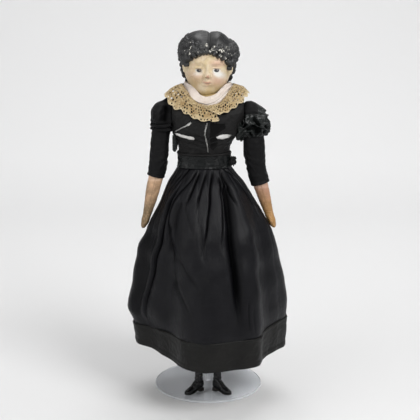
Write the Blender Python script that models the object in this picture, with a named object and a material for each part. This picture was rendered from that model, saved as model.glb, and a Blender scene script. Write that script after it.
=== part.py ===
"""Shoulder-head doll in a black silk dress, standing on a clear disc stand.

Metres, +Z up. The doll faces -Y, and its own left hand is on the +X side. The origin is on the
underside of the disc, plumb below the middle of the body. Heights stack from the sole upwards, so
a longer thigh lifts everything above it.
"""

import math

import bmesh
import bpy
from mathutils import Matrix, Vector
from mathutils.bvhtree import BVHTree

MM = 0.001
GAP = 0.3 * MM  # clearance between pieces that touch

# Display stand
DISC_DIAMETER = 152 * MM
DISC_THICKNESS = 4 * MM
DISC_EDGE = 0.6 * MM
DISC_SETBACK = 45 * MM  # the disc's centre and its post stand this far behind the body
POST_DIAMETER = 8 * MM
SADDLE_WIRE = 3 * MM
SADDLE_DROP = 24 * MM  # from the seat of the body down to the top of the post
SADDLE_FRONT_RISE = 16 * MM

# Lengths that stack from the sole to the neck
BOOT_HEIGHT = 54 * MM
SHIN_LENGTH = 64 * MM
THIGH_LENGTH = 110 * MM
TRUNK_LENGTH = 107.5 * MM  # hip seam to waist
BACK_LENGTH = 84 * MM  # waist to neck

# Stuffed body, half widths and depths
HIP_SEAM_HALF_WIDTH = 28.5 * MM
HIP_SEAM_DEPTH = 16 * MM
HIP_HALF_WIDTH = 35.5 * MM
WAIST_HALF_WIDTH = 31.5 * MM
WAIST_HALF_DEPTH = 21 * MM
BUST_HALF_WIDTH = 42 * MM
BUST_FRONT = 33 * MM
SHOULDER_HALF_WIDTH = 53 * MM
NECK_HALF_WIDTH = 17 * MM
BODY_SWAY = -5 * MM  # the waist leans this far towards the doll's right
BODY_SQUARENESS = 2.3
BODY_POINTS = 26

# Legs
LEG_SPACING = 35 * MM  # between the two leg centres
HIP_SEAM_RADIUS = 4 * MM
KNEE_SEAM_RADIUS = 3 * MM
THIGH_HALF_WIDTH = 11.5 * MM
THIGH_HALF_DEPTH = 13 * MM
KNEE_HALF_WIDTH = 8.5 * MM
CALF_HALF_DEPTH = 9.5 * MM
ANKLE_HALF_WIDTH = 5 * MM
FOOT_LENGTH = 31 * MM
FOOT_HALF_WIDTH = 5.6 * MM
TOE_OUT = math.radians(52)
SOLE_THICKNESS = 1.4 * MM
HEEL_HEIGHT = 3 * MM
SOLE_CLEARANCE = 1.8 * MM  # the feet hang just clear of the disc, so the legs can swing

# Arms, measured down the limb from the shoulder joint
ARMHOLE_X = 47 * MM  # flat plane where each sleeve meets the bodice
SHOULDER_RISE = 58 * MM  # waist to shoulder joint
ARM_X = 60.2 * MM  # middle of the arm at the shoulder
ARM_HANG = {"left": math.radians(5), "right": math.radians(6)}
ARM_BEND = {"left": math.radians(11), "right": math.radians(7)}  # lean added below the elbow
UPPER_ARM_LENGTH = 69 * MM
FOREARM_LENGTH = 68 * MM
HAND_LENGTH = 24 * MM
UPPER_ARM_RADIUS = 10 * MM
FOREARM_RADIUS = 9.2 * MM
WRIST_RADIUS = 4.9 * MM
SLEEVE_LENGTH = {"left": 97 * MM, "right": 87 * MM}
SLEEVE_EASE = 1.1 * MM  # room between the arm and the sleeve
PUFF_LENGTH = 27 * MM
PUFF_RISE = 14.5 * MM  # top of the puff above the shoulder joint
PUFF_FULLNESS = 4 * MM

# Shoulder head
PLATE_WALL = 2.5 * MM
PLATE_DEPTH = 30 * MM  # neck down to the plate's lower edge
PLATE_HALF_WIDTH = 42 * MM
PLATE_STEP = 1.5 * MM  # the body narrows to fit inside the plate this far below its edge
HEAD_RISE = 38 * MM  # neck to the middle of the head
HEAD_ROLL = math.radians(3)
SKULL_HALF_WIDTH = 31 * MM
FACE_FRONT = 31 * MM
SKULL_BACK = 34 * MM
SKULL_UP = 36 * MM
CHIN_DOWN = 47 * MM
NAPE_DOWN = 42 * MM
HEAD_WALL = 5 * MM
NECK_RADIUS = 14.5 * MM
NECK_BORE_RADIUS = 9 * MM
HAIR_THICKNESS = 8 * MM  # over the brow and down the back

# Dress
CHEMISE_CLOTH = 0.8 * MM
SILK = 1.2 * MM
BAND_HEIGHT = 17 * MM
BAND_BELOW_WAIST = 15 * MM
SKIRT_LENGTH = 216 * MM
HEM_BAND_HEIGHT = 39 * MM
SKIRT_HALF_WIDTH = 106 * MM
SKIRT_FRONT = 101 * MM
SKIRT_BACK = 103 * MM
SKIRT_FOLD = 4 * MM
SKIRT_BLOUSE = 7 * MM  # how far it bags out on the doll's right, most just over the seam
SKIRT_POINTS = 60
SKIRT_LAP = 6 * MM  # the front panel stands out over the side one on the doll's right
SKIRT_VALLEY = 7.5 * MM  # deepest fold, left of the middle in front
PETTICOAT_LENGTH = 232 * MM
PETTICOAT_EASE = 11 * MM  # how far inside the skirt it hangs
COLLAR_LACE = 0.8 * MM
COLLAR_HALF_WIDTH = 60 * MM
COLLAR_FRONT = 39 * MM
COLLAR_BACK = 36 * MM
COLLAR_FALL = 6 * MM  # its outer edge at the sides lies this far below the neck
COLLAR_FRONT_FALL = 28 * MM  # further down in front
COLLAR_BACK_FALL = 14 * MM
NECKBAND_HEIGHT = 14 * MM
NECKBAND_HALF_WIDTH = 33 * MM
NECKBAND_FRONT = 28 * MM
NECKBAND_BACK = 26 * MM

# Heights that follow from the lengths
SOLE_Z = DISC_THICKNESS + SOLE_CLEARANCE
BOOT_TOP_Z = SOLE_Z + BOOT_HEIGHT
KNEE_Z = BOOT_TOP_Z + SHIN_LENGTH
HIP_Z = KNEE_Z + THIGH_LENGTH
SEAT_Z = HIP_Z + HIP_SEAM_RADIUS + GAP
WAIST_Z = HIP_Z + TRUNK_LENGTH
NECK_Z = WAIST_Z + BACK_LENGTH
SHOULDER_Z = WAIST_Z + SHOULDER_RISE
HEAD_Z = NECK_Z + HEAD_RISE
PLATE_Z = NECK_Z - PLATE_DEPTH
BAND_BOTTOM_Z = WAIST_Z - BAND_BELOW_WAIST
BAND_TOP_Z = BAND_BOTTOM_Z + BAND_HEIGHT

# Layers over the stuffed body, as distances from its surface
CHEMISE_INSIDE = GAP
BODICE_INSIDE = CHEMISE_INSIDE + CHEMISE_CLOTH + GAP
BAND_INSIDE = BODICE_INSIDE + SILK + GAP

SIDES = {"left": 1, "right": -1}

PAINTED_PAPER = ("painted_paper", (0.72, 0.56, 0.38), 0.55)
MUSLIN = ("muslin", (0.72, 0.66, 0.55), 0.95)
WHITE_COTTON = ("white_cotton", (0.80, 0.77, 0.70), 0.95)
BLACK_SILK = ("black_silk", (0.014, 0.014, 0.016), 0.6)
CREAM_LACE = ("cream_lace", (0.62, 0.46, 0.26), 0.9)
KID_LEATHER = ("kid_leather", (0.48, 0.29, 0.17), 0.6)
BLACK_LEATHER = ("black_leather", (0.012, 0.012, 0.013), 0.4)
CLEAR_ACRYLIC = ("clear_acrylic", (0.86, 0.90, 0.93), 0.05)
STEEL_WIRE = ("steel_wire", (0.55, 0.55, 0.56), 0.3)


def clear_scene():
    for obj in list(bpy.data.objects):
        bpy.data.objects.remove(obj, do_unlink=True)


def finish_of(spec):
    """The Principled material of a finish, made once."""
    name, colour, roughness = spec
    found = bpy.data.materials.get(name)
    if found:
        return found
    made = bpy.data.materials.new(name)
    made.use_nodes = True
    shader = made.node_tree.nodes["Principled BSDF"]
    shader.inputs["Base Color"].default_value = (*colour, 1)
    shader.inputs["Roughness"].default_value = roughness
    shader.inputs["Metallic"].default_value = 1.0 if spec is STEEL_WIRE else 0.0
    if spec is CLEAR_ACRYLIC:
        shader.inputs["Transmission Weight"].default_value = 1.0
    return made


def place(bm, name, finish, parent=None):
    """Turns a bmesh into a named object, smooth shaded, hung on a joint's empty where it has one."""
    mesh = bpy.data.meshes.new(name)
    if parent is not None:
        bmesh.ops.transform(bm, matrix=parent.matrix_world.inverted(), verts=bm.verts)
    bm.to_mesh(mesh)
    bm.free()
    mesh.shade_smooth()
    mesh.set_sharp_from_angle(angle=math.radians(40))
    obj = bpy.data.objects.new(name, mesh)
    bpy.context.scene.collection.objects.link(obj)
    if finish is not None:
        mesh.materials.append(finish_of(finish))
    obj.parent = parent
    return obj


def joint_at(name, point, parent=None):
    """An empty on a joint's axis, which its moving pieces hang on."""
    empty = bpy.data.objects.new(name, None)
    bpy.context.scene.collection.objects.link(empty)
    empty.parent = parent
    empty.location = Vector(point) - (parent.matrix_world.translation if parent else Vector())
    bpy.context.view_layer.update()
    return empty


def cutter(bm, name):
    obj = place(bm, name, None)
    obj.hide_render = True
    obj.display_type = "WIRE"
    return obj


def boolean(obj, other, operation="DIFFERENCE"):
    modifier = obj.modifiers.new(operation.title() + " " + other.name, "BOOLEAN")
    modifier.operation = operation
    modifier.object = other


def solidify(obj, thickness, offset):
    modifier = obj.modifiers.new("Cloth", "SOLIDIFY")
    modifier.thickness = thickness
    modifier.offset = offset


def smooth(low, high, value):
    share = min(1.0, max(0.0, (value - low) / (high - low)))
    return share * share * (3 - 2 * share)


def between(stations, at):
    """Values at a place on a smooth curve through stations of (place, value, value, ...)."""
    at = min(max(at, stations[0][0]), stations[-1][0])
    i = max(k for k in range(len(stations) - 1) if stations[k][0] <= at)
    low, high = stations[i], stations[i + 1]
    span = high[0] - low[0]
    t = (at - low[0]) / span

    def slope(k, column):
        a, b = stations[max(k - 1, 0)], stations[min(k + 1, len(stations) - 1)]
        return (b[column] - a[column]) / (b[0] - a[0])

    return [
        (2 * t**3 - 3 * t**2 + 1) * low[c]
        + (t**3 - 2 * t**2 + t) * span * slope(i, c)
        + (3 * t**2 - 2 * t**3) * high[c]
        + (t**3 - t**2) * span * slope(i + 1, c)
        for c in range(1, len(low))
    ]


def rounded(turn, half_width, front, back, squareness):
    """A point of a rounded section, counter-clockwise from above, front towards -Y."""
    c, s = math.cos(turn), math.sin(turn)
    x = half_width * math.copysign(abs(c) ** (2 / squareness), c)
    y = (back if s > 0 else front) * math.copysign(abs(s) ** (2 / squareness), s)
    return x, y


def section(half_width, front, back, points, squareness=2.0):
    turns = [math.tau * k / points for k in range(points)]
    return [rounded(turn, half_width, front, back, squareness) for turn in turns]


def skin(bm, low, high, outward=True):
    """Triangles between two loops. Every loft splits its squares the same way, so layers nest."""
    count = len(low)
    for k in range(count):
        n = (k + 1) % count
        for face in ((low[k], low[n], high[n]), (low[k], high[n], high[k])):
            bm.faces.new(face if outward else face[::-1])


def loft(rings, capped):
    """Skins rings of points, listed bottom to top, into a bmesh whose faces point out."""
    bm = bmesh.new()
    loops = [[bm.verts.new(p) for p in ring] for ring in rings]
    for low, high in zip(loops, loops[1:]):
        skin(bm, low, high)
    if capped:
        bm.faces.new(reversed(loops[0]))
        bm.faces.new(loops[-1])
    bm.normal_update()
    return bm


def shell(outer, inner, closed_top=False):
    """A tube of cloth between matching outer and inner rings, open at both ends or only below."""
    bm = bmesh.new()
    outside, inside = ([[bm.verts.new(p) for p in ring] for ring in rings] for rings in (outer, inner))
    for low, high in zip(outside, outside[1:]):
        skin(bm, low, high)
    for low, high in zip(inside, inside[1:]):
        skin(bm, low, high, outward=False)
    skin(bm, inside[0], outside[0])
    if closed_top:
        bm.faces.new(outside[-1])
        bm.faces.new(reversed(inside[-1]))
    else:
        skin(bm, outside[-1], inside[-1])
    bm.normal_update()
    return bm


def box(low, high):
    bm = bmesh.new()
    bmesh.ops.create_cube(bm, size=1)
    low, high = Vector(low), Vector(high)
    size = high - low
    bmesh.ops.scale(bm, vec=size, verts=bm.verts)
    bmesh.ops.translate(bm, vec=(low + high) / 2, verts=bm.verts)
    return bm


# Stuffed body


def sway(z):
    """Sideways lean of the body, most at the waist and none at the hip seam and the neck."""
    if z < WAIST_Z:
        return BODY_SWAY * smooth(SEAT_Z, WAIST_Z, z)
    return BODY_SWAY * (1 - smooth(WAIST_Z, NECK_Z, z))


BODY_STATIONS = (
    # share of the trunk below the waist or of the back above it, half width, front, back
    (-1.0, HIP_SEAM_HALF_WIDTH, HIP_SEAM_DEPTH / 2, HIP_SEAM_DEPTH / 2),
    (-0.86, HIP_HALF_WIDTH - 3 * MM, 16 * MM, 19 * MM),
    (-0.62, HIP_HALF_WIDTH, 24 * MM, 28 * MM),
    (-0.36, HIP_HALF_WIDTH - 1.5 * MM, 24 * MM, 26 * MM),
    (0.0, WAIST_HALF_WIDTH, WAIST_HALF_DEPTH, WAIST_HALF_DEPTH),
    (0.21, WAIST_HALF_WIDTH + 1.5 * MM, BUST_FRONT - 7 * MM, 22 * MM),
    (0.40, BUST_HALF_WIDTH, BUST_FRONT, 24 * MM),
    (0.55, BUST_HALF_WIDTH + 8 * MM, BUST_FRONT, 25.5 * MM),
    (0.69, SHOULDER_HALF_WIDTH, BUST_FRONT - 4 * MM, 26 * MM),
    (0.80, SHOULDER_HALF_WIDTH, 24 * MM, 25 * MM),
    (0.89, SHOULDER_HALF_WIDTH - 8 * MM, 20 * MM, 22 * MM),
    (0.95, NECK_HALF_WIDTH + 14 * MM, NECK_HALF_WIDTH + 1 * MM, NECK_HALF_WIDTH + 2 * MM),
    (1.0, NECK_HALF_WIDTH, NECK_HALF_WIDTH - 1 * MM, NECK_HALF_WIDTH),
)


def body_size(z):
    """Half width, front and back of the stuffed body at a height."""
    if z < WAIST_Z:
        share = (z - WAIST_Z) / (WAIST_Z - SEAT_Z)
    else:
        share = (z - WAIST_Z) / BACK_LENGTH
    return between(BODY_STATIONS, share)


def body_heights():
    """Heights of the rings every layer over the body shares, so the layers stay nested."""
    below = [SEAT_Z + (BAND_BOTTOM_Z - SEAT_Z) * share for share in (0, 0.1, 0.28, 0.55, 0.8)]
    middle = [BAND_BOTTOM_Z, BAND_BOTTOM_Z + 3 * MM, BAND_TOP_Z]
    chest = [BAND_TOP_Z + (PLATE_Z - BAND_TOP_Z) * share for share in (0.25, 0.5, 0.76)]
    chest.append(PLATE_Z - PLATE_STEP)
    plate = [PLATE_Z + PLATE_DEPTH * share for share in (0, 0.2, 0.4, 0.56, 0.7, 0.82, 0.92, 1)]
    return below + middle + chest + plate


def make_body_grid():
    """Points and normals of the body's surface: one ring of them for each height."""
    rings = []
    for z in body_heights():
        outline = section(*body_size(z), BODY_POINTS, BODY_SQUARENESS)
        rings.append([(x + sway(z), y, z) for x, y in outline])
    bm = loft(rings, False)
    bm.verts.ensure_lookup_table()
    grid = []
    for k in range(len(rings)):
        ring = bm.verts[k * BODY_POINTS : (k + 1) * BODY_POINTS]
        grid.append((rings[k][0][2], [(v.co.copy(), v.normal.copy()) for v in ring]))
    bm.free()
    return grid


def body_layer(grid, low, high, distance):
    """Rings of a layer over the body, between two heights, at a distance from its surface."""
    near = GAP / 2
    chosen = [ring for z, ring in grid if low - near <= z <= high + near]
    return [[point + normal * distance for point, normal in ring] for ring in chosen]


def cloth_layer(grid, low, high, inside, thickness):
    outer = body_layer(grid, low, high, inside + thickness)
    return shell(outer, body_layer(grid, low, high, inside))


def make_armhole_cutters():
    reach = SHOULDER_HALF_WIDTH * 2
    made = []
    for side, sign in SIDES.items():
        xs = sorted((sign * ARMHOLE_X, sign * reach))
        bm = box((xs[0], -reach, WAIST_Z), (xs[1], reach, NECK_Z + reach))
        made.append(cutter(bm, side + "_armhole_cutter"))
    return made


def make_torso(grid, armholes):
    """Sawdust-stuffed muslin body. Its top narrows to sit inside the shoulder plate."""
    step = PLATE_Z - PLATE_STEP
    rings = body_layer(grid, SEAT_Z, step, 0.0)
    rings += body_layer(grid, step, NECK_Z - 4 * MM, -PLATE_WALL - GAP)
    torso = place(loft(rings, True), "torso", MUSLIN)
    for armhole in armholes:
        boolean(torso, armhole)


# Shoulder head


HAIRLINE = (
    # degrees round from the face, height above the middle of the head
    (0, 13 * MM),
    (20, 10 * MM),
    (36, 3 * MM),
    (52, -3.5 * MM),
    (62, 0),
    (76, 3 * MM),
    (98, 3 * MM),
    (112, -14 * MM),
    (135, -22 * MM),
    (180, -22 * MM),
)

HAIR_SWELL = (
    # height on the skull above the middle of the head, extra thickness of the hair at the sides
    (-25 * MM, -0.5 * MM),
    (0, 0),
    (10 * MM, 4 * MM),
    (21 * MM, 5.2 * MM),
    (29 * MM, 3 * MM),
    (35 * MM, 0),
    (36 * MM, 0),
)

FACE_FORMS = (
    # place on the face across and up, reach across and up, height, all in millimetres
    ((0, -12.8), (3.8, 3.4), 4.6),  # tip of the nose
    ((0, -6.5), (2.8, 6.5), 2.4),  # bridge
    ((10.5, -5.5), (6.5, 4.6), -3.4),  # eye sockets
    ((11.3, -6.8), (4.4, 2.7), 3.2),  # eyeballs
    ((12, 2), (8, 2.6), 1.0),  # brows
    ((15, -15.5), (8, 8), 1.9),  # cheeks
    ((0, -20.6), (6, 2.8), 2.4),  # lips
    ((0, -26.6), (6.5, 2.4), -1.2),  # hollow under the lip
    ((0, -36), (9, 5.5), 2.8),  # chin
)
EAR_PLACE, EAR_REACH, EAR_HEIGHT = (1 * MM, -6 * MM), (4.5 * MM, 7 * MM), 2.6 * MM
CURL_PITCH = 9.5 * MM
CURL_HEIGHT = 1.3 * MM
PARTING_DEPTH = 3 * MM


def skull_point(turn, polar):
    """Where a direction meets the plain skull: turn from the face, polar angle from the crown."""
    d = Vector((math.sin(turn) * math.sin(polar), -math.cos(turn) * math.sin(polar), math.cos(polar)))
    depth = FACE_FRONT if d.y < 0 else SKULL_BACK
    below = NAPE_DOWN + (CHIN_DOWN - NAPE_DOWN) * smooth(0.3, -0.4, d.y)
    height = SKULL_UP if d.z > 0 else below
    shares = (d.x / SKULL_HALF_WIDTH, d.y / depth, d.z / height)
    return d, d / math.sqrt(sum(share**2 for share in shares))


def face_relief(p):
    if p.y > 0:
        return 0.0
    relief = 0.0
    for (x, z), (across, up), height in FACE_FORMS:
        for sign in (1, -1) if x else (1,):
            off = ((p.x - sign * x * MM) / (across * MM)) ** 2 + ((p.z - z * MM) / (up * MM)) ** 2
            relief += height * MM * math.exp(-off)
    return relief


def ear_relief(p):
    off = ((p.y - EAR_PLACE[0]) / EAR_REACH[0]) ** 2 + ((p.z - EAR_PLACE[1]) / EAR_REACH[1]) ** 2
    return EAR_HEIGHT * math.exp(-off) * smooth(0.6, 0.9, abs(p.x) / SKULL_HALF_WIDTH)


def hair_relief(p, turn):
    """Moulded hair: a thick cap above the hairline, rows of short curls and a centre parting."""
    line = between(HAIRLINE, abs(math.degrees(turn)))[0]
    cover = smooth(-3 * MM, 3.4 * MM, p.z - line)
    around = turn * SKULL_HALF_WIDTH * 2 * math.pi / CURL_PITCH
    up = p.z * 2 * math.pi / CURL_PITCH
    curls = CURL_HEIGHT * math.sin(around + math.sin(up)) * math.cos(up)
    curls *= 1 - smooth(SKULL_UP * 0.6, SKULL_UP, p.z)
    parting = PARTING_DEPTH * math.exp(-((p.x / (3 * MM)) ** 2)) * smooth(0, SKULL_UP * 0.5, p.z)
    thick = HAIR_THICKNESS + between(HAIR_SWELL, p.z)[0] * math.sin(turn) ** 2
    return cover * (thick + curls - parting)


def head_point(turn, polar):
    direction, p = skull_point(turn, polar)
    return p + direction * (face_relief(p) + ear_relief(p) + hair_relief(p, turn))


def head_placement():
    tilt = Matrix.Rotation(HEAD_ROLL, 4, "Y")
    return Matrix.Translation((0, 2 * MM, HEAD_Z)) @ tilt


def make_head_form():
    """The head above the neck, with its columns of points drawn together across the face."""
    columns, rows, crowding = 48, 40, 0.6
    turns = [math.tau * k / columns - math.pi for k in range(columns)]
    turns = [t - crowding * math.sin(t) for t in turns]
    polars = [math.pi * (0.5 + k) / rows for k in range(rows)]
    polars = [t + 0.22 * math.sin(2 * (t - 0.22)) for t in polars]
    rings = [[head_point(turn, polar) for turn in turns] for polar in reversed(polars)]
    bm = loft(rings, True)
    bmesh.ops.beautify_fill(bm, faces=bm.faces, edges=bm.edges, method="ANGLE")
    bmesh.ops.transform(bm, matrix=head_placement(), verts=bm.verts)
    return cutter(bm, "head_form")


def make_head_hollow():
    """What is empty inside: the skull's hollow and the bore down through the neck."""
    bm = bmesh.new()
    bmesh.ops.create_uvsphere(bm, u_segments=20, v_segments=12, radius=1)
    inside = [size - HEAD_WALL for size in (SKULL_HALF_WIDTH, FACE_FRONT, SKULL_UP)]
    bmesh.ops.scale(bm, vec=inside, verts=bm.verts)
    bmesh.ops.transform(bm, matrix=head_placement(), verts=bm.verts)
    return cutter(bm, "head_hollow")


def make_neck_bore():
    bm = loft(
        [
            [(x, y, z) for x, y in section(NECK_BORE_RADIUS, NECK_BORE_RADIUS, NECK_BORE_RADIUS, 20)]
            for z in (PLATE_Z - PLATE_WALL, HEAD_Z - SKULL_UP / 2)
        ],
        True,
    )
    return cutter(bm, "neck_bore")


def make_shoulder_head(grid):
    """Papier-mache head, neck and shoulder plate in one moulding, hollow and open underneath."""
    rings = body_layer(grid, PLATE_Z, NECK_Z, 0.0)
    for z in (NECK_Z + 3 * MM, NECK_Z + 8 * MM, HEAD_Z - CHIN_DOWN * 0.5):
        outline = section(NECK_RADIUS, NECK_RADIUS, NECK_RADIUS, BODY_POINTS)
        rings.append([(x, y, z) for x, y in outline])
    head = place(loft(rings, True), "shoulder_head", PAINTED_PAPER)
    boolean(head, make_head_form(), "UNION")
    under = body_layer(grid, PLATE_Z, NECK_Z - 2 * MM, -PLATE_WALL)
    under.insert(0, [p - Vector((0, 0, PLATE_WALL)) for p in under[0]])
    boolean(head, cutter(loft(under, True), "under_plate"))
    boolean(head, make_head_hollow())
    boolean(head, make_neck_bore())
    reach = SHOULDER_HALF_WIDTH * 2
    for side, sign in SIDES.items():
        xs = sorted((sign * PLATE_HALF_WIDTH, sign * reach))
        bm = box((xs[0], -reach, PLATE_Z - reach), (xs[1], reach, NECK_Z))
        boolean(head, cutter(bm, side + "_plate_trim"))


# Legs


def leg_ring(x, z, half_width, half_depth, points=14, squareness=2.2, y=0.0):
    return [(x + a, y + b, z) for a, b in section(half_width, half_depth, half_depth, points, squareness)]


def seam_rings(x, seam_z, half_width, radius):
    """Rounded top edge of a limb, turning on its seam: a half cylinder on the joint's axis."""
    rings = []
    for degrees in (0, 35, 60, 78):
        turn = math.radians(degrees)
        z = seam_z + radius * math.sin(turn)
        rings.append(leg_ring(x, z, half_width, radius * math.cos(turn), squareness=3.5))
    return rings


def make_thigh(side, hip):
    x = SIDES[side] * LEG_SPACING / 2
    bottom = KNEE_Z + KNEE_SEAM_RADIUS + GAP
    length = HIP_Z - bottom
    shape = (
        # share of the way up, half width, half depth
        (0.0, KNEE_HALF_WIDTH, KNEE_SEAM_RADIUS + 0.6 * MM),
        (0.12, KNEE_HALF_WIDTH + 0.8 * MM, KNEE_HALF_WIDTH - 0.5 * MM),
        (0.4, THIGH_HALF_WIDTH - 0.6 * MM, THIGH_HALF_DEPTH - 1.5 * MM),
        (0.68, THIGH_HALF_WIDTH, THIGH_HALF_DEPTH),
        (0.88, THIGH_HALF_WIDTH, THIGH_HALF_DEPTH - 3.5 * MM),
        (0.97, THIGH_HALF_WIDTH - 0.2 * MM, HIP_SEAM_RADIUS + 1.2 * MM),
    )
    rings = [leg_ring(x, bottom + share * length, w, d) for share, w, d in shape]
    rings += seam_rings(x, HIP_Z, THIGH_HALF_WIDTH - 0.5 * MM, HIP_SEAM_RADIUS)
    place(loft(rings, True), side + "_thigh", MUSLIN, hip)


def make_shin(side, knee):
    x = SIDES[side] * LEG_SPACING / 2
    bottom = BOOT_TOP_Z + GAP
    length = KNEE_Z - bottom
    shape = (
        (0.0, ANKLE_HALF_WIDTH + 1 * MM, ANKLE_HALF_WIDTH + 1.4 * MM),
        (0.3, KNEE_HALF_WIDTH - 1 * MM, CALF_HALF_DEPTH - 1.2 * MM),
        (0.62, KNEE_HALF_WIDTH, CALF_HALF_DEPTH),
        (0.86, KNEE_HALF_WIDTH, CALF_HALF_DEPTH - 3 * MM),
        (0.96, KNEE_HALF_WIDTH - 0.2 * MM, KNEE_SEAM_RADIUS + 1 * MM),
    )
    rings = [leg_ring(x, bottom + share * length, w, d) for share, w, d in shape]
    rings += seam_rings(x, KNEE_Z, KNEE_HALF_WIDTH - 0.5 * MM, KNEE_SEAM_RADIUS)
    place(loft(rings, True), side + "_shin", MUSLIN, knee)


def foot_frame(side):
    """Local frame of a foot: +Y from heel to toe, turned out, with its heel under the shin."""
    sign = SIDES[side]
    x = sign * LEG_SPACING / 2
    turned = Matrix.Rotation(math.pi + sign * TOE_OUT, 4, "Z")
    return Matrix.Translation((x - sign * 4 * MM, 0, SOLE_Z)) @ turned


def sole_rise(y):
    """How far the arch lifts the foot, from the heel (full) to the ball (none)."""
    return HEEL_HEIGHT * (1 - smooth(0, FOOT_LENGTH * 0.42, y))


def make_boot(side, knee):
    """Leather boot: a foot from toe to heel, joined to a straight shaft."""
    shape = (
        # share of the foot's length from the heel joint, share of its width, height
        (0.735, 0.34, 2.2),
        (0.68, 0.66, 3.8),
        (0.52, 0.95, 5.6),
        (0.34, 0.95, 9.0),
        (0.16, 0.86, 13.5),
        (0.0, 0.86, 16.0),
        (-0.13, 0.84, 15.5),
        (-0.21, 0.68, 13.0),
        (-0.25, 0.34, 9.0),
    )
    rings = []
    for share, width, tall in shape:
        y, half = FOOT_LENGTH * share, tall * MM / 2
        low = SOLE_THICKNESS + GAP + sole_rise(y)
        outline = section(FOOT_HALF_WIDTH * width, half, half, 12, 2.4)
        rings.append([(a, y, low + half + b) for a, b in outline])
    foot = loft(rings, True)
    ankle = ANKLE_HALF_WIDTH
    legs = ((0.16, -0.6, 0.2), (0.3, -0.3, 1.4), (0.48, 0, 0.5), (0.75, 0.3, 0.6), (1.0, 1.0, 1.2))
    rings = []
    for share, wider, deeper in legs:
        outline = section(ankle + wider * MM, ankle + deeper * MM, ankle + deeper * MM, 14, 2.2)
        rings.append([(a, b - 0.02 * FOOT_LENGTH, BOOT_HEIGHT * share) for a, b in outline])
    shaft = loft(rings, True)
    for bm in (foot, shaft):
        bmesh.ops.transform(bm, matrix=foot_frame(side), verts=bm.verts)
        bmesh.ops.recalc_face_normals(bm, faces=bm.faces)
    boot = place(shaft, side + "_boot", BLACK_LEATHER, knee)
    boolean(boot, cutter(foot, side + "_foot_form"), "UNION")


def make_boot_sole(side, knee):
    """Thin sole that rises over the arch, with a low stacked heel."""
    shape = (
        # share of the foot's length, share of its width, whether the underside reaches the ground
        (0.75, 0.3, True),
        (0.7, 0.66, True),
        (0.55, 0.95, True),
        (0.4, 0.92, True),
        (0.2, 0.74, False),
        (0.05, 0.76, False),
        (0.03, 0.78, True),
        (-0.1, 0.82, True),
        (-0.22, 0.7, True),
        (-0.26, 0.36, True),
    )
    rings = []
    for share, width, grounded in shape:
        y, half = FOOT_LENGTH * share, FOOT_HALF_WIDTH * width
        low, high = (0.0 if grounded else sole_rise(y)), SOLE_THICKNESS + sole_rise(y)
        rings.append([(-half, y, low), (half, y, low), (half, y, high), (-half, y, high)])
    bm = loft(rings, True)
    bmesh.ops.transform(bm, matrix=foot_frame(side), verts=bm.verts)
    place_limb(bm, side + "_boot_sole", BLACK_LEATHER, knee)


# Arms


def arm_station(side, at):
    """Middle of an arm and its outward direction, at a distance down from the shoulder joint."""
    hang, wrist = ARM_HANG[side], UPPER_ARM_LENGTH + FOREARM_LENGTH
    bent = hang + ARM_BEND[side]
    leans = (
        # distance, how far the limb leans out from plumb
        (-PUFF_RISE, hang),
        (UPPER_ARM_LENGTH, hang),
        (SLEEVE_LENGTH[side], bent),
        (wrist, bent + math.radians(1)),
        (wrist + HAND_LENGTH, bent + math.radians(10)),
    )
    middle, reached = Vector((ARM_X, 0, SHOULDER_Z)), 0.0
    lean = hang
    step = math.copysign(1 * MM, at)
    while abs(reached - at) > 1e-9:
        step = math.copysign(min(abs(step), abs(at - reached)), step)
        middle += Vector((math.sin(lean), 0, -math.cos(lean))) * step
        reached += step
        lean = between(leans, reached)[0]
    return middle, Vector((math.cos(lean), 0, math.sin(lean)))


def arm_ring(side, at, half_across, half_deep, points, shift=0.0, ripple=0.0, waves=0, margin=0.0):
    """A ring square to the arm. Across runs away from the body, deep runs from front to back."""
    middle, outward = arm_station(side, at)
    nearest = ARMHOLE_X + GAP + margin
    ring = []
    for k in range(points):
        turn = math.tau * k / points
        swell = 1 + ripple * math.cos(waves * turn)
        p = middle + outward * (shift + half_across * math.cos(turn) * swell)
        ring.append((SIDES[side] * max(p.x, nearest), half_deep * math.sin(turn) * swell, p.z))
    return ring


def place_limb(bm, name, finish, parent):
    bmesh.ops.recalc_face_normals(bm, faces=bm.faces)
    return place(bm, name, finish, parent)


def make_upper_arm(side, shoulder):
    r, elbow = UPPER_ARM_RADIUS, FOREARM_RADIUS - 0.6 * MM
    shape = (
        (UPPER_ARM_LENGTH - GAP, elbow),
        (UPPER_ARM_LENGTH * 0.65, r - 0.8 * MM),
        (UPPER_ARM_LENGTH * 0.3, r + 0.4 * MM),
        (6 * MM, r + 0.2 * MM),
        (-3 * MM, r - 0.6 * MM),
        (-8 * MM, r - 3.2 * MM),
        (-10.5 * MM, r - 7 * MM),
    )
    rings = [arm_ring(side, at, half, half, 14) for at, half in shape]
    place_limb(loft(rings, True), side + "_upper_arm", MUSLIN, shoulder)


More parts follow.
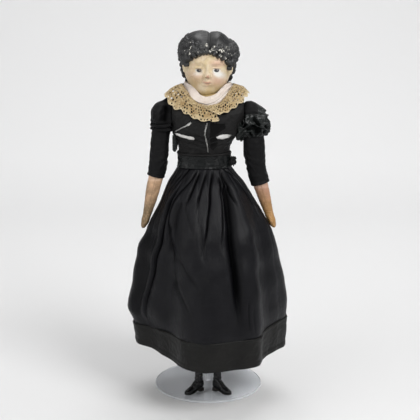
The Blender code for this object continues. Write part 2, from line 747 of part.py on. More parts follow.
def make_forearm(side, shoulder):
    """Kid forearm and mitten hand with a separate thumb."""
    r, wrist = FOREARM_RADIUS, UPPER_ARM_LENGTH + FOREARM_LENGTH
    shape = (
        # distance, half across, half deep
        (wrist + HAND_LENGTH, 1.4 * MM, 2.4 * MM),
        (wrist + HAND_LENGTH * 0.88, WRIST_RADIUS - 1.6 * MM, WRIST_RADIUS),
        (wrist + HAND_LENGTH * 0.6, WRIST_RADIUS - 0.6 * MM, WRIST_RADIUS + 1.4 * MM),
        (wrist + HAND_LENGTH * 0.3, WRIST_RADIUS - 0.5 * MM, WRIST_RADIUS + 1.5 * MM),
        (wrist, WRIST_RADIUS - 0.3 * MM, WRIST_RADIUS + 0.2 * MM),
        (wrist - 4 * MM, WRIST_RADIUS + 0.4 * MM, WRIST_RADIUS + 0.6 * MM),
        (wrist - FOREARM_LENGTH * 0.38, r - 1.5 * MM, r - 1.5 * MM),
        (SLEEVE_LENGTH[side], r, r),
        (UPPER_ARM_LENGTH, r - 0.6 * MM, r - 0.6 * MM),
    )
    rings = [arm_ring(side, at, a, d, 14) for at, a, d in shape]
    forearm = place_limb(loft(rings, True), side + "_forearm", KID_LEATHER, shoulder)
    boolean(forearm, make_thumb(side, wrist), "UNION")


def make_thumb(side, wrist):
    """The thumb lies along the front of the hand and stands a little off it."""
    rings = []
    for share, half, forward in ((0.62, 1.1, 8.2), (0.5, 2.1, 7.8), (0.3, 2.3, 6.2), (0.08, 1.6, 2.5)):
        ring = arm_ring(side, wrist + HAND_LENGTH * share, half * MM, half * MM, 8, shift=-1 * MM)
        rings.append([(x, y - forward * MM, z) for x, y, z in ring])
    bm = loft(rings, True)
    bmesh.ops.recalc_face_normals(bm, faces=bm.faces)
    return cutter(bm, side + "_thumb_form")


def sleeve_rings(side, shape, points, inset, waves=0):
    """Rings round the arm from stations of (distance, half across, half deep, shift, ripple)."""
    return [
        arm_ring(side, at, a - inset, d - inset, points, shift, ripple, waves, inset)
        for at, a, d, shift, ripple in shape
    ]


def make_sleeve(side, shoulder):
    """Fitted lower sleeve, open at the cuff."""
    upper = UPPER_ARM_RADIUS + SLEEVE_EASE + SILK
    cuff = FOREARM_RADIUS + SLEEVE_EASE + SILK
    halves = (
        (SLEEVE_LENGTH[side], cuff),
        (UPPER_ARM_LENGTH, cuff + 0.8 * MM),
        (PUFF_LENGTH + 7 * MM, upper),
        (PUFF_LENGTH - 9 * MM, upper + 0.4 * MM),
    )
    shape = [(at, half, half, 0, 0) for at, half in halves]
    bm = shell(*(sleeve_rings(side, shape, 16, inset) for inset in (0.0, SILK)))
    place_limb(bm, side + "_sleeve", BLACK_SILK, shoulder)


def make_sleeve_puff(side, shoulder):
    """Gathered puff over the shoulder, its inner side flat along the armhole, open below."""
    base, full = UPPER_ARM_RADIUS + SLEEVE_EASE + 2 * SILK, PUFF_FULLNESS
    shape = (
        (PUFF_LENGTH, base + 0.6 * MM, base + 0.6 * MM, 0, 0.02),
        (PUFF_LENGTH - 7 * MM, base + 0.45 * full, base + 0.9 * full, 0.2 * full, 0.06),
        (11 * MM, base + 0.5 * full, base + 1.3 * full, 0.3 * full, 0.06),
        (0, base + 0.4 * full, base + full, 0.2 * full, 0.05),
        (-8 * MM, base - 0.4 * full, base, -0.2 * full, 0.04),
        (2.5 * MM - PUFF_RISE, base - 1.3 * full, base - full, -0.6 * full, 0.02),
        (-PUFF_RISE, base - 2.4 * full, base - 2.2 * full, -full, 0),
    )
    bm = shell(*(sleeve_rings(side, shape, 24, inset, 6) for inset in (0.0, SILK / 2)), closed_top=True)
    place_limb(bm, side + "_sleeve_puff", BLACK_SILK, shoulder)


# Dress


def make_chemise(grid, armholes):
    bm = cloth_layer(grid, BAND_BOTTOM_Z, NECK_Z - 2 * MM, CHEMISE_INSIDE, CHEMISE_CLOTH)
    chemise = place(bm, "chemise", WHITE_COTTON)
    for armhole in armholes:
        boolean(chemise, armhole)


def make_bodice(grid, armholes):
    """The bodice, and the surface that the neckband rests on."""
    bm = cloth_layer(grid, BAND_BOTTOM_Z + 3 * MM, NECK_Z - 2 * MM, BODICE_INSIDE, SILK)
    surface = BVHTree.FromBMesh(bm)
    bodice = place(bm, "bodice", BLACK_SILK)
    for armhole in armholes:
        boolean(bodice, armhole)
    return surface


def make_waistband(grid):
    place(cloth_layer(grid, BAND_BOTTOM_Z, BAND_TOP_Z, BAND_INSIDE, SILK), "waistband", BLACK_SILK)


def skirt_size(drop):
    """Half width, front and back of the skirt at a distance below the waistband."""
    half_width, front, back = (size + BAND_INSIDE + SILK for size in body_size(BAND_BOTTOM_Z))
    whole = SKIRT_LENGTH + HEM_BAND_HEIGHT
    spread = (
        # share of the whole length, share of the flare from waist to fullest
        (0.0, 0.0),
        (0.035, 0.09),
        (0.08, 0.215),
        (0.18, 0.40),
        (0.33, 0.68),
        (0.575, 0.915),
        (0.77, 1.0),
        (1.0, 0.97),
    )
    share = between(spread, drop / whole)[0]
    full = (SKIRT_HALF_WIDTH, SKIRT_FRONT, SKIRT_BACK)
    return [a + (b - a) * share for a, b in zip((half_width, front, back), full)]


SKIRT_PLAN = (
    # degrees round from the doll's left, share of the full round that the cloth reaches low down
    (-180, 0.98),
    (-170, 0.93),
    (-159, 0.79),
    (-144, 0.74),
    (-127, 0.76),
    (-110, 0.88),
    (-92, 1.0),
    (-71, 0.94),
    (-51, 0.97),
    (-34, 0.87),
    (-12, 0.91),
    (3, 1.03),
    (40, 0.95),
    (75, 1.0),
    (110, 0.95),
    (145, 1.0),
    (180, 0.98),
)


SEAM_RISE = (
    # degrees round from the doll's left, how far the hem band's seam is drawn up
    (-180, 0),
    (-45, 0),
    (-12, 4 * MM),
    (10, 6 * MM),
    (90, 2 * MM),
    (180, 0),
)

HEM_RISE = (
    # degrees round from the doll's left, how far the lower edge is drawn up
    (-180, 12 * MM),
    (-165, 10 * MM),
    (-135, 3.5 * MM),
    (-105, 0),
    (-40, 0),
    (-12, 2 * MM),
    (30, 3 * MM),
    (120, 2 * MM),
    (160, 9 * MM),
    (180, 12 * MM),
)

LAP_RUN = (
    # distance below the waistband, degrees round where the front panel's edge lies
    (0, -150),
    (30 * MM, -145),
    (60 * MM, -144),
    (95 * MM, -145),
    (125 * MM, -150),
    (165 * MM, -164),
    (185 * MM, -169),
)
VALLEY_TURN = -70

CREASES = (
    # degrees round, half width, depth, start and end below the waistband
    (VALLEY_TURN, 5 * MM, SKIRT_VALLEY, 40 * MM, 182 * MM),
    (-128, 6 * MM, 3.4 * MM, 46 * MM, 132 * MM),
    (-112, 5 * MM, 3 * MM, 132 * MM, 186 * MM),
    (-104, 4 * MM, 2.2 * MM, 26 * MM, 96 * MM),
)


def skirt_turns(drop):
    """Directions of the points round the skirt, drawn together at its lap and its deep fold."""
    lap = between(LAP_RUN, drop)[0]
    close = [lap + step for step in (-8, -3, -1, 0.6, 4, 10)]
    close += [VALLEY_TURN + step for step in (-7, -4, -2, 0, 2, 4, 7)]
    even = [360 * k / SKIRT_POINTS - 180 for k in range(SKIRT_POINTS)]
    even = [t for t in even if not -179 < t < -131 and abs(t - VALLEY_TURN) > 9]
    return [math.radians(t) for t in sorted(even + close)]


def crease(turn, drop, radius):
    """The lap of the front panel over the side, and the long folds of the front."""
    degrees = math.degrees(math.atan2(math.sin(turn), math.cos(turn)))
    aside = math.radians(degrees - between(LAP_RUN, drop)[0]) * radius
    share = drop / SKIRT_LENGTH
    along = smooth(0.02, 0.2, share) * (1 - smooth(0.7, 0.9, share))
    out = 0.0
    if abs(aside) < 60 * MM:
        out = smooth(-1.6 * MM, 1.6 * MM, aside) * math.exp(-max(aside, 0.0) / (26 * MM))
        out = SKIRT_LAP * along * (out - 0.5 * math.exp(-(((aside + 4.5 * MM) / (4 * MM)) ** 2)))
    for place, half, depth, start, end in CREASES:
        soft = 0.22 * (end - start)
        along = smooth(start, start + soft, drop) * (1 - smooth(end - soft, end, drop))
        out -= depth * along * math.exp(-((math.radians(degrees - place) * radius / half) ** 2))
    return out


def fold(turn, drop):
    """Lesser folds of the hanging cloth, shallow at the waist and deepest halfway down."""
    depth = SKIRT_FOLD * smooth(0, SKIRT_LENGTH * 0.45, drop)
    waves = 0.6 * math.cos(7 * turn + 0.7) + 0.4 * math.cos(11 * turn + 2.2)
    return depth * waves * (1 - 0.6 * smooth(SKIRT_LENGTH * 0.5, SKIRT_LENGTH, drop))


BLOUSE_RUN = ((0, 0), (0.39, 0), (0.5, 0.75), (0.6, 0.7), (0.75, 0.75), (0.9, 1), (1, 0), (2, 0))


def blouse(turn, drop):
    """Cloth bagging out over the hem band's seam, on the doll's right only."""
    swell = between(BLOUSE_RUN, drop / SKIRT_LENGTH)[0]
    return SKIRT_BLOUSE * swell * smooth(-0.6, -0.95, math.cos(turn))


def skirt_ring(drop, turns, ease=0.0, folded=True):
    z = BAND_BOTTOM_Z - GAP - drop
    half_width, front, back = skirt_size(drop)
    low = smooth(SKIRT_LENGTH * 0.12, SKIRT_LENGTH * 0.8, drop)
    lean = sway(z) * (1 - smooth(0, SKIRT_LENGTH * 0.4, drop))
    above = smooth(SKIRT_LENGTH * 0.5, SKIRT_LENGTH, drop)
    below = smooth(SKIRT_LENGTH, SKIRT_LENGTH + HEM_BAND_HEIGHT, drop)
    ring = []
    for turn in turns:
        c, s = math.cos(turn), math.sin(turn)
        degrees = math.degrees(math.atan2(s, c))
        reach = 1 + (between(SKIRT_PLAN, degrees)[0] - 1) * low
        x, y = half_width * reach, (back if s > 0 else front) * reach
        out = -ease
        if folded:
            out += fold(turn, drop) + blouse(turn, drop) + crease(turn, drop, math.hypot(x * c, y * s))
        seam, hem = between(SEAM_RISE, degrees)[0], between(HEM_RISE, degrees)[0]
        rise = seam * above * (1 - below) + hem * below
        ring.append(((x + out) * c + lean, (y + out) * s, z + rise))
    return ring


def skirt_shell(drops):
    outer, inner = ([skirt_ring(drop, skirt_turns(drop), ease) for drop in drops] for ease in (0.0, SILK))
    return shell(outer, inner)


def make_skirt():
    drops = [SKIRT_LENGTH * share for share in (1.0, 0.9, 0.74, 0.55, 0.36, 0.19, 0.08, 0.0)]
    place(skirt_shell(drops), "skirt", BLACK_SILK)


def make_hem_band():
    """Deep band that closes the skirt's lower edge."""
    drops = [SKIRT_LENGTH + HEM_BAND_HEIGHT, SKIRT_LENGTH + GAP]
    place(skirt_shell(drops), "hem_band", BLACK_SILK)


def make_petticoat(grid):
    """White cotton petticoat that holds the skirt out, gathered close to the body at its top."""
    drops = [PETTICOAT_LENGTH * share for share in (1.0, 0.75, 0.5, 0.3, 0.14)]
    turns = [math.tau * k / BODY_POINTS for k in range(BODY_POINTS)]
    layers = []
    for distance in (GAP + CHEMISE_CLOTH, GAP):
        rings = [skirt_ring(d, turns, PETTICOAT_EASE - distance, False) for d in drops]
        layers.append(rings + [petticoat_top(grid, distance)])
    place(shell(*layers), "petticoat", WHITE_COTTON)


def petticoat_top(grid, distance):
    """Gathered top edge, just below the waistband and close round the body."""
    below, above = body_layer(grid, SEAT_Z, BAND_BOTTOM_Z, distance)[-2:]
    share = 4 * MM / (above[0].z - below[0].z)
    return [high.lerp(low, share) for low, high in zip(below, above)]


def neck_plan(turn, ease):
    depth = NECKBAND_FRONT if math.sin(turn) < 0 else NECKBAND_BACK
    return (NECKBAND_HALF_WIDTH + ease) * math.cos(turn), (depth + ease) * math.sin(turn)


def neckband_point(bodice, turn, rise, ease):
    """A point of the band round the neck, from where it rests (rise 0) to its top edge (rise 1)."""
    x, y = neck_plan(turn, -CHEMISE_CLOTH)
    rest = bodice.ray_cast((x, y, HEAD_Z), (0, 0, -1))[0].z
    front, rear = smooth(0.2, 1.0, -math.sin(turn)), smooth(0.3, 1.0, math.sin(turn))
    tall = NECKBAND_HEIGHT - 4 * MM * front - 5 * MM * rear
    x, y = neck_plan(turn, ease)
    return Vector((x, y, rest + 3 * GAP + tall * rise))


def make_neckband(bodice):
    """White band standing round the neck, high at the sides and dipping in front."""
    turns = [math.tau * k / 45 for k in range(45)]
    outer, inner = (
        [[neckband_point(bodice, turn, rise, ease) for turn in turns] for rise in (0, 0.5, 1)]
        for ease in (0.0, -CHEMISE_CLOTH)
    )
    place(shell(outer, inner), "neckband", WHITE_COTTON)


def collar_point(bodice, turn, share, lift):
    """A point of the lace, from its neck edge (share 0) to its outer edge (share 1)."""
    c, s = math.cos(turn), math.sin(turn)
    front, rear = smooth(0.1, 1.0, -s), smooth(0.2, 1.0, s)
    inner = neckband_point(bodice, turn, 0.6, 2 * GAP + COLLAR_LACE + lift)
    depth = COLLAR_FRONT if s < 0 else COLLAR_BACK
    fall = COLLAR_FALL + COLLAR_FRONT_FALL * front + COLLAR_BACK_FALL * rear
    outer = Vector((COLLAR_HALF_WIDTH * c, depth * s, NECK_Z - fall))
    p = inner.lerp(outer, share)
    p.z += 3 * MM * math.sin(math.pi * share) * (1 - 0.6 * front) + lift * share
    p.y -= 1.5 * lift * front * share
    return p


def make_lace_collar(bodice):
    """One strip of lace round the neck, its ends crossing a little left of the middle in front."""
    start, wrap, columns, rows = math.radians(-80), math.radians(384), 48, 3
    bm = bmesh.new()
    grid = []
    for k in range(columns + 1):
        along = k / columns
        lift = 1.6 * MM * smooth(0.86, 0.97, along)
        turn = start + wrap * along
        points = [collar_point(bodice, turn, r / rows, lift) for r in range(rows + 1)]
        grid.append([bm.verts.new(p) for p in points])
    for near, far in zip(grid, grid[1:]):
        for r in range(rows):
            bm.faces.new((near[r], near[r + 1], far[r + 1], far[r]))
    collar = place(bm, "lace_collar", CREAM_LACE)
    solidify(collar, COLLAR_LACE, -1)


# Stand


def disc_profile(radius, low, high, edge):
    """Right half of a turned disc's outline, from the axis out along the bottom and back."""
    return (
        (0, low),
        (radius - edge, low),
        (radius, low + edge),
        (radius, high - edge),
        (radius - edge, high),
        (0, high),
    )


def turned(profile, points, centre):
    rings = []
    for radius, z in profile:
        if radius == 0:
            continue
        around = section(radius, radius, radius, points)
        rings.append([(centre[0] + x, centre[1] + y, z) for x, y in around])
    return loft(rings, True)


def make_stand():
    centre = (0, DISC_SETBACK)
    disc = disc_profile(DISC_DIAMETER / 2, 0, DISC_THICKNESS, DISC_EDGE)
    place(turned(disc, 56, centre), "stand_disc", CLEAR_ACRYLIC)
    post = disc_profile(POST_DIAMETER / 2, DISC_THICKNESS + GAP, SEAT_Z - SADDLE_DROP, DISC_EDGE)
    place(turned(post, 16, centre), "stand_post", CLEAR_ACRYLIC)
    make_saddle()


def make_saddle():
    """Bent wire on top of the post: it runs forward between the thighs, under the body and up."""
    half = SADDLE_WIRE / 2
    seat = SEAT_Z - GAP - half
    front = HIP_SEAM_DEPTH / 2
    route = (
        (DISC_SETBACK, SEAT_Z - SADDLE_DROP + GAP),
        (DISC_SETBACK, SEAT_Z - SADDLE_DROP + 5 * MM),
        (DISC_SETBACK - 5 * MM, SEAT_Z - SADDLE_DROP + 10 * MM),
        (front + 7 * MM, seat - 1.5 * MM),
        (front - 2 * MM, seat),
        (2 * MM - front, seat),
        (-front - 3.5 * MM, seat + 0.5 * MM),
        (-front - 8 * MM, seat + 0.4 * SADDLE_FRONT_RISE - 2 * MM),
        (-front - 12.5 * MM, seat + SADDLE_FRONT_RISE - 4 * MM),
    )
    points = [Vector((0, y, z)) for y, z in route]
    place(wire(points, half), "stand_saddle", STEEL_WIRE)


def wire(points, radius):
    """A round wire through points of the YZ plane, mitred at its bends."""
    rings = []
    for k, point in enumerate(points):
        ahead = points[min(k + 1, len(points) - 1)] - point
        behind = point - points[max(k - 1, 0)]
        along = (ahead.normalized() + behind.normalized()).normalized()
        side, up = Vector((1, 0, 0)), Vector((0, -along.z, along.y))
        rings.append([point + side * a + up * b for a, b in section(radius, radius, radius, 10)])
    bm = loft(rings, True)
    bmesh.ops.recalc_face_normals(bm, faces=bm.faces)
    return bm


def make_leg(side):
    x = SIDES[side] * LEG_SPACING / 2
    hip = joint_at(side + "_hip", (x, 0, HIP_Z))
    knee = joint_at(side + "_knee", (x, 0, KNEE_Z), hip)
    make_thigh(side, hip)
    make_shin(side, knee)
    make_boot(side, knee)
    make_boot_sole(side, knee)


def make_arm(side):
    shoulder = joint_at(side + "_shoulder", (SIDES[side] * ARMHOLE_X, 0, SHOULDER_Z))
    make_upper_arm(side, shoulder)
    make_forearm(side, shoulder)
    make_sleeve(side, shoulder)
    make_sleeve_puff(side, shoulder)


def main():
    clear_scene()
    armholes = make_armhole_cutters()
    grid = make_body_grid()
    make_torso(grid, armholes)
    make_shoulder_head(grid)
    make_chemise(grid, armholes)
    bodice = make_bodice(grid, armholes)
    make_waistband(grid)
    make_petticoat(grid)
    make_skirt()
    make_hem_band()
    make_neckband(bodice)
    make_lace_collar(bodice)
    for side in SIDES:
        make_arm(side)
        make_leg(side)
    make_stand()


main()
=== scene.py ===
import math
import bpy
import numpy as np
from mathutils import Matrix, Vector
from mathutils.bvhtree import BVHTree


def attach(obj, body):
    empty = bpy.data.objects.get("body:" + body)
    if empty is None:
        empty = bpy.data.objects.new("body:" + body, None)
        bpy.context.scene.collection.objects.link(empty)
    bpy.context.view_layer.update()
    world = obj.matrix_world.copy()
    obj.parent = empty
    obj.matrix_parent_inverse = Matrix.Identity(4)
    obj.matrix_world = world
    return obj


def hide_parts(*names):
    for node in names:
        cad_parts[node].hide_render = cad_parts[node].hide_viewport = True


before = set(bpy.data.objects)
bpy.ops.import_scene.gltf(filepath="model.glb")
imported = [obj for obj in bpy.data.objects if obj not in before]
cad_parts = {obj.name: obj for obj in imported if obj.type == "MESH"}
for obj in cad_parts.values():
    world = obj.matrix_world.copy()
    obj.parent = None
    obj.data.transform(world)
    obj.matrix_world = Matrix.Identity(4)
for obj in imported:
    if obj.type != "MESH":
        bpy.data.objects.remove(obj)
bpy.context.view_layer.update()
scene = bpy.context.scene
mm = 0.001
sides = {"left": 1, "right": -1}  # the doll's own left is at +X
print("frame loaded:", len(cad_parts), "nodes")


# Small helpers

def deselectAll():
    if bpy.context.object and bpy.context.object.mode != "OBJECT":
        bpy.ops.object.mode_set(mode="OBJECT")
    bpy.ops.object.select_all(action="DESELECT")


def pick(piece):
    deselectAll()
    piece.select_set(True)
    bpy.context.view_layer.objects.active = piece


def named(name, finish):  # the piece just added gets its name and finish
    piece = bpy.context.object
    piece.name = name
    piece.data.name = name
    piece.data.materials.clear()
    piece.data.materials.append(finish)
    return piece


def applyAll(piece):
    pick(piece)
    for modifier in list(piece.modifiers):
        bpy.ops.object.modifier_apply(modifier=modifier.name)


def addModifier(piece, kind, **values):
    modifier = piece.modifiers.new(kind.title(), kind)
    for key, value in values.items():
        setattr(modifier, key, value)
    return modifier


def settle(piece):  # place, turn and size go into the mesh
    pick(piece)
    bpy.ops.object.transform_apply(location=True, rotation=True, scale=True)


def smoothShade(piece, angle=None):
    pick(piece)
    if angle is None:
        bpy.ops.object.shade_smooth()
    else:
        bpy.ops.object.shade_smooth_by_angle(angle=math.radians(angle))


def joined(pieces, name):
    deselectAll()
    for piece in pieces:
        piece.select_set(True)
    bpy.context.view_layer.objects.active = pieces[0]
    bpy.ops.object.join()
    pieces[0].name = name
    pieces[0].data.name = name
    return pieces[0]


def editMesh(piece, *steps):  # runs edit-mode operators on the whole piece
    pick(piece)
    bpy.ops.object.mode_set(mode="EDIT")
    bpy.ops.mesh.select_all(action="SELECT")
    for operator, values in steps:
        operator(**values)
    bpy.ops.object.mode_set(mode="OBJECT")


def weld(piece):  # points that lie together become one
    editMesh(piece, (bpy.ops.mesh.remove_doubles, {"threshold": 1e-6}))


def faceOut(piece):
    editMesh(piece, (bpy.ops.mesh.normals_make_consistent, {"inside": False}))


def pointsOf(piece):
    flat = np.zeros(len(piece.data.vertices) * 3)
    piece.data.vertices.foreach_get("co", flat)
    return flat.reshape(-1, 3)


def movePoints(piece, points):
    piece.data.vertices.foreach_set("co", np.asarray(points, float).ravel())
    piece.data.update()


def normalsOf(piece):
    flat = np.zeros(len(piece.data.vertices) * 3, np.float32)
    piece.data.vertex_normals.foreach_get("vector", flat)
    return flat.reshape(-1, 3).astype(float)


def paintPoints(piece, name, values):  # a number at each vertex, for the material to read
    layer = piece.data.attributes.get(name) or piece.data.attributes.new(name, "FLOAT", "POINT")
    layer.data.foreach_set("value", np.asarray(values, np.float32))


def ease(low, high, value):  # smooth step
    share = np.clip((np.asarray(value, float) - low) / (high - low), 0, 1)
    return share * share * (3 - 2 * share)


def bump(value, centre, reach):  # bell shape of height 1
    return np.exp(-((np.asarray(value, float) - centre) / reach) ** 2)


def ripples(points, size, seed, layers=2, waves=7):  # smooth seeded noise, about -1 to 1
    dice = np.random.default_rng(seed)
    total, weight = 0, 0
    for layer in range(layers):
        for _ in range(waves):
            way = dice.normal(size=3)
            way *= math.tau / size * 2**layer * dice.uniform(0.6, 1.4) / np.linalg.norm(way)
            total = total + np.sin(points @ way + dice.uniform(0, math.tau)) / 2**layer
        weight += waves / 4**layer
    return total / math.sqrt(weight * 0.5) / 1.6


def creases(points, size, seed):  # sharp ridges between soft hollows, 0 to 1
    shifts = [ripples(points, size * 1.3, seed + k, 1) for k in (1, 2, 3)]
    bent = points + 0.25 * size * np.stack(shifts, 1)
    return np.clip(1 - 1.6 * np.abs(ripples(bent, size, seed, 2)), 0, 1)


def through(stations, at):  # smooth curve through rows of (place, value, value, ...)
    table = np.array(stations, float)
    spots = table[:, 0]
    at = np.clip(np.asarray(at, float), spots[0], spots[-1])
    k = np.clip(np.searchsorted(spots, at, side="right") - 1, 0, len(spots) - 2)
    ahead, behind = np.r_[table[1:], table[-1:]], np.r_[table[:1], table[:-1]]
    slopes = (ahead - behind)[:, 1:] / (ahead - behind)[:, :1]
    span = (spots[k + 1] - spots[k])[..., None]
    t = (at - spots[k])[..., None] / span
    low, high = table[k, 1:], table[k + 1, 1:]
    return (
        (2 * t**3 - 3 * t**2 + 1) * low
        + (t**3 - 2 * t**2 + t) * span * slopes[k]
        + (3 * t**2 - 2 * t**3) * high
        + (t**3 - t**2) * span * slopes[k + 1]
    )


def gridPiece(name, cols, rows, spot, finish, size=(1, 1), closed=False, marks=None):
    # a primitive grid laid on a surface: spot takes shares across and up, and gives points
    deselectAll()
    bpy.ops.mesh.primitive_grid_add(x_subdivisions=cols, y_subdivisions=rows, size=2)
    piece = named(name, finish)
    flat = pointsOf(piece)
    across, up = (flat[:, 0] + 1) / 2, (flat[:, 1] + 1) / 2
    movePoints(piece, spot(across, up))
    for label, mark in (marks or {}).items():
        paintPoints(piece, label, mark(across, up))
    layer = piece.data.uv_layers.active.data  # the map is in metres of cloth
    spread = np.zeros(len(layer) * 2)
    layer.foreach_get("uv", spread)
    layer.foreach_set("uv", (spread.reshape(-1, 2) * np.array(size)).ravel())
    if closed:
        weld(piece)
    smoothShade(piece)
    return piece


def thicken(piece, thickness):
    addModifier(piece, "SOLIDIFY", thickness=thickness, offset=-1.0, use_even_offset=False)
    applyAll(piece)


def solidOf(name):  # a CAD node's surface, to rest pieces on
    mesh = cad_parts[name].data
    return BVHTree.FromPolygons([v.co for v in mesh.vertices], [p.vertices for p in mesh.polygons])


def copyOf(node, name, finish):  # a CAD node's mesh as a piece of its own
    deselectAll()
    piece = bpy.data.objects.new(name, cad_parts[node].data.copy())
    scene.collection.objects.link(piece)
    piece.data.materials.clear()
    piece.data.materials.append(finish)
    weld(piece)
    return piece


# Shader helpers

def addNode(tree, kind, inputs=(), **settings):
    node = tree.nodes.new("ShaderNode" + kind)
    for key, value in settings.items():
        setattr(node, key, value)
    for key, value in dict(inputs).items():
        if isinstance(value, bpy.types.NodeSocket):
            tree.links.new(value, node.inputs[key])
        else:
            node.inputs[key].default_value = value
    return node


def maths(tree, operation, a, b=0.0):
    return addNode(tree, "Math", {0: a, 1: b}, operation=operation).outputs[0]


def tint(tree, share, a, b):  # colours mixed by a share
    ends = [c if isinstance(c, bpy.types.NodeSocket) else (*c, 1) for c in (a, b)]
    return addNode(tree, "Mix", {0: share, 6: ends[0], 7: ends[1]}, data_type="RGBA").outputs[2]


def glaze(tree, colour, mask, strength, tone):  # some of the tone over the colour, where the mask is
    return tint(tree, maths(tree, "MULTIPLY", mask, strength), colour, tone)


def evenly(tree, value, low, high, start, end):
    return addNode(tree, "MapRange", {0: value, 1: low, 2: high, 3: start, 4: end}).outputs[0]


def ranged(tree, value, low, high, start=0.0, end=1.0):  # eased at both ends
    inputs = {0: value, 1: low, 2: high, 3: start, 4: end}
    return addNode(tree, "MapRange", inputs, interpolation_type="SMOOTHSTEP").outputs[0]


def newFinish(name, **sockets):  # a Principled material with its plain values on the sockets
    finish = bpy.data.materials.new(name)
    finish.use_nodes = True
    tree = finish.node_tree
    shader = tree.nodes["Principled BSDF"]
    for label, value in sockets.items():
        shader.inputs[label.replace("_", " ")].default_value = value
    return finish, tree, shader.inputs


def objectPlace(tree):
    return addNode(tree, "TexCoord").outputs["Object"]


# Camera, floor and light
view = {"place": (0.0027, -1.345, 0.557), "pitch": -12.2, "lens": 87.2}
studio = {
    "floor": (0.66, 0.66, 0.67),  # as the object sees it
    "shadedPaper": (0.0, 1.6, 0.71, 0.95),  # as the camera sees it, darker near the doll as painted shade: from, to, near and far tone
    "through": (0.95, 0.95, 0.95),  # as seen through the clear stand, paler there as painted light
    "wide": 12.0,
    "back": 2.4,
    "wall": 4.0,
    "bend": 1.2,
    "world": (0.05, 0.8, 0.24, 0.50),  # from, to, light at the horizon and overhead
    "sky": 0.62,  # as the camera sees it past the floor's edge
    "pale": (1.0, 3.2, 0.0, 0.34),  # the far floor stays pale to the camera: from, to, near and far
    "aim": (0, 0, 0.27),
    "lamps": (
        # name, place, size, watts
        ("keyLamp", (1.15, -1.35, 1.75), 1.0, 34),
        ("fillLamp", (-1.5, -1.3, 1.0), 1.5, 15),
        ("topLamp", (0.1, 0.5, 2.3), 1.4, 20),
    ),
}


def setCamera():
    deselectAll()
    tilt = math.radians(90 + view["pitch"])
    bpy.ops.object.camera_add(location=view["place"], rotation=(tilt, 0, 0))
    camera = bpy.context.object
    camera.data.sensor_width = 36
    camera.data.lens = view["lens"]
    camera.data.clip_end = 50
    scene.camera = camera


def floorPaper():  # greyer to the object than to the camera
    finish, tree, shader = newFinish(
        "paleFloor", Roughness=0.9, Specular_IOR_Level=0.1, Emission_Color=(1, 1, 1, 1)
    )
    ray = addNode(tree, "LightPath").outputs
    far = addNode(tree, "SeparateXYZ", {0: objectPlace(tree)}).outputs
    # the camera sees the floor darker near the doll than far off, a painted shade
    shadedPaper = evenly(tree, far["Y"], *studio["shadedPaper"])
    seen = tint(tree, ray["Is Camera Ray"], studio["floor"], shadedPaper)
    # seen through the clear stand the floor is paler, a painted light
    seen = tint(tree, ray["Is Transmission Ray"], seen, studio["through"])
    tree.links.new(seen, shader["Base Color"])
    aside, before = maths(tree, "ABSOLUTE", far["X"]), maths(tree, "MULTIPLY", far["Y"], -1.0)
    pale = evenly(tree, maths(tree, "MAXIMUM", aside, before), *studio["pale"])
    shown = maths(tree, "MULTIPLY", pale, ray["Is Camera Ray"])
    tree.links.new(shown, shader["Emission Strength"])
    return finish


def setWorld():
    world = bpy.data.worlds.new("studioWorld")
    world.use_nodes = True
    tree = world.node_tree
    light = tree.nodes["Background"].inputs
    light["Color"].default_value = (1, 1, 1, 1)
    way = addNode(tree, "TexCoord").outputs["Generated"]
    glow = evenly(tree, addNode(tree, "SeparateXYZ", {0: way}).outputs["Z"], *studio["world"])
    seen = addNode(tree, "LightPath").outputs["Is Camera Ray"]
    sky = addNode(tree, "Mix", {0: seen, 2: glow, 3: studio["sky"]})
    tree.links.new(sky.outputs[0], light["Strength"])
    scene.world = world


def setFloor():  # a sheet that bends up into the wall behind
    back, wide = studio["back"], studio["wide"]
    deselectAll()
    bpy.ops.mesh.primitive_plane_add(size=wide, location=(0, back - wide / 2, 0))
    floor = named("floor", floorPaper())
    settle(floor)
    bpy.ops.object.mode_set(mode="EDIT")
    bpy.ops.mesh.select_all(action="DESELECT")
    bpy.ops.object.mode_set(mode="OBJECT")
    for edge in floor.data.edges:
        edge.select = all(floor.data.vertices[i].co.y > back - 0.01 for i in edge.vertices)
    bpy.ops.object.mode_set(mode="EDIT")
    bpy.ops.mesh.extrude_region_move(TRANSFORM_OT_translate={"value": (0, 0, studio["wall"])})
    bpy.ops.object.mode_set(mode="OBJECT")
    for edge in floor.data.edges:
        ends = [floor.data.vertices[i].co for i in edge.vertices]
        edge.select = all(abs(p.z) < 0.01 and p.y > back - 0.01 for p in ends)
    bpy.ops.object.mode_set(mode="EDIT")
    bpy.ops.mesh.select_mode(type="EDGE")
    bpy.ops.mesh.bevel(offset=studio["bend"], segments=16)
    bpy.ops.mesh.select_mode(type="VERT")
    bpy.ops.object.mode_set(mode="OBJECT")
    smoothShade(floor)


def setLamps():
    for name, place, size, watts in studio["lamps"]:
        aim = Vector(studio["aim"]) - Vector(place)
        turn = aim.to_track_quat("-Z", "Y").to_euler()
        bpy.ops.object.light_add(type="AREA", location=place, rotation=turn)
        lamp = bpy.context.object
        lamp.name = name
        lamp.data.size = size
        lamp.data.energy = watts


setCamera()
setFloor()
setWorld()
setLamps()
scene.view_settings.view_transform = "Standard"
print("camera, floor and lamps set")


# Effects that several finishes share

def newGroup(name, takes, gives):
    tree = bpy.data.node_groups.new(name, "ShaderNodeTree")
    for label, kind, value in takes:
        socket = tree.interface.new_socket(label, in_out="INPUT", socket_type="NodeSocket" + kind)
        if value is not None:
            socket.default_value = value
    for label in gives:
        tree.interface.new_socket(label, in_out="OUTPUT", socket_type="NodeSocketFloat")
    return tree, tree.nodes.new("NodeGroupInput").outputs, tree.nodes.new("NodeGroupOutput").inputs


def useGroup(tree, group, inputs):
    return addNode(tree, "Group", inputs, node_tree=group).outputs


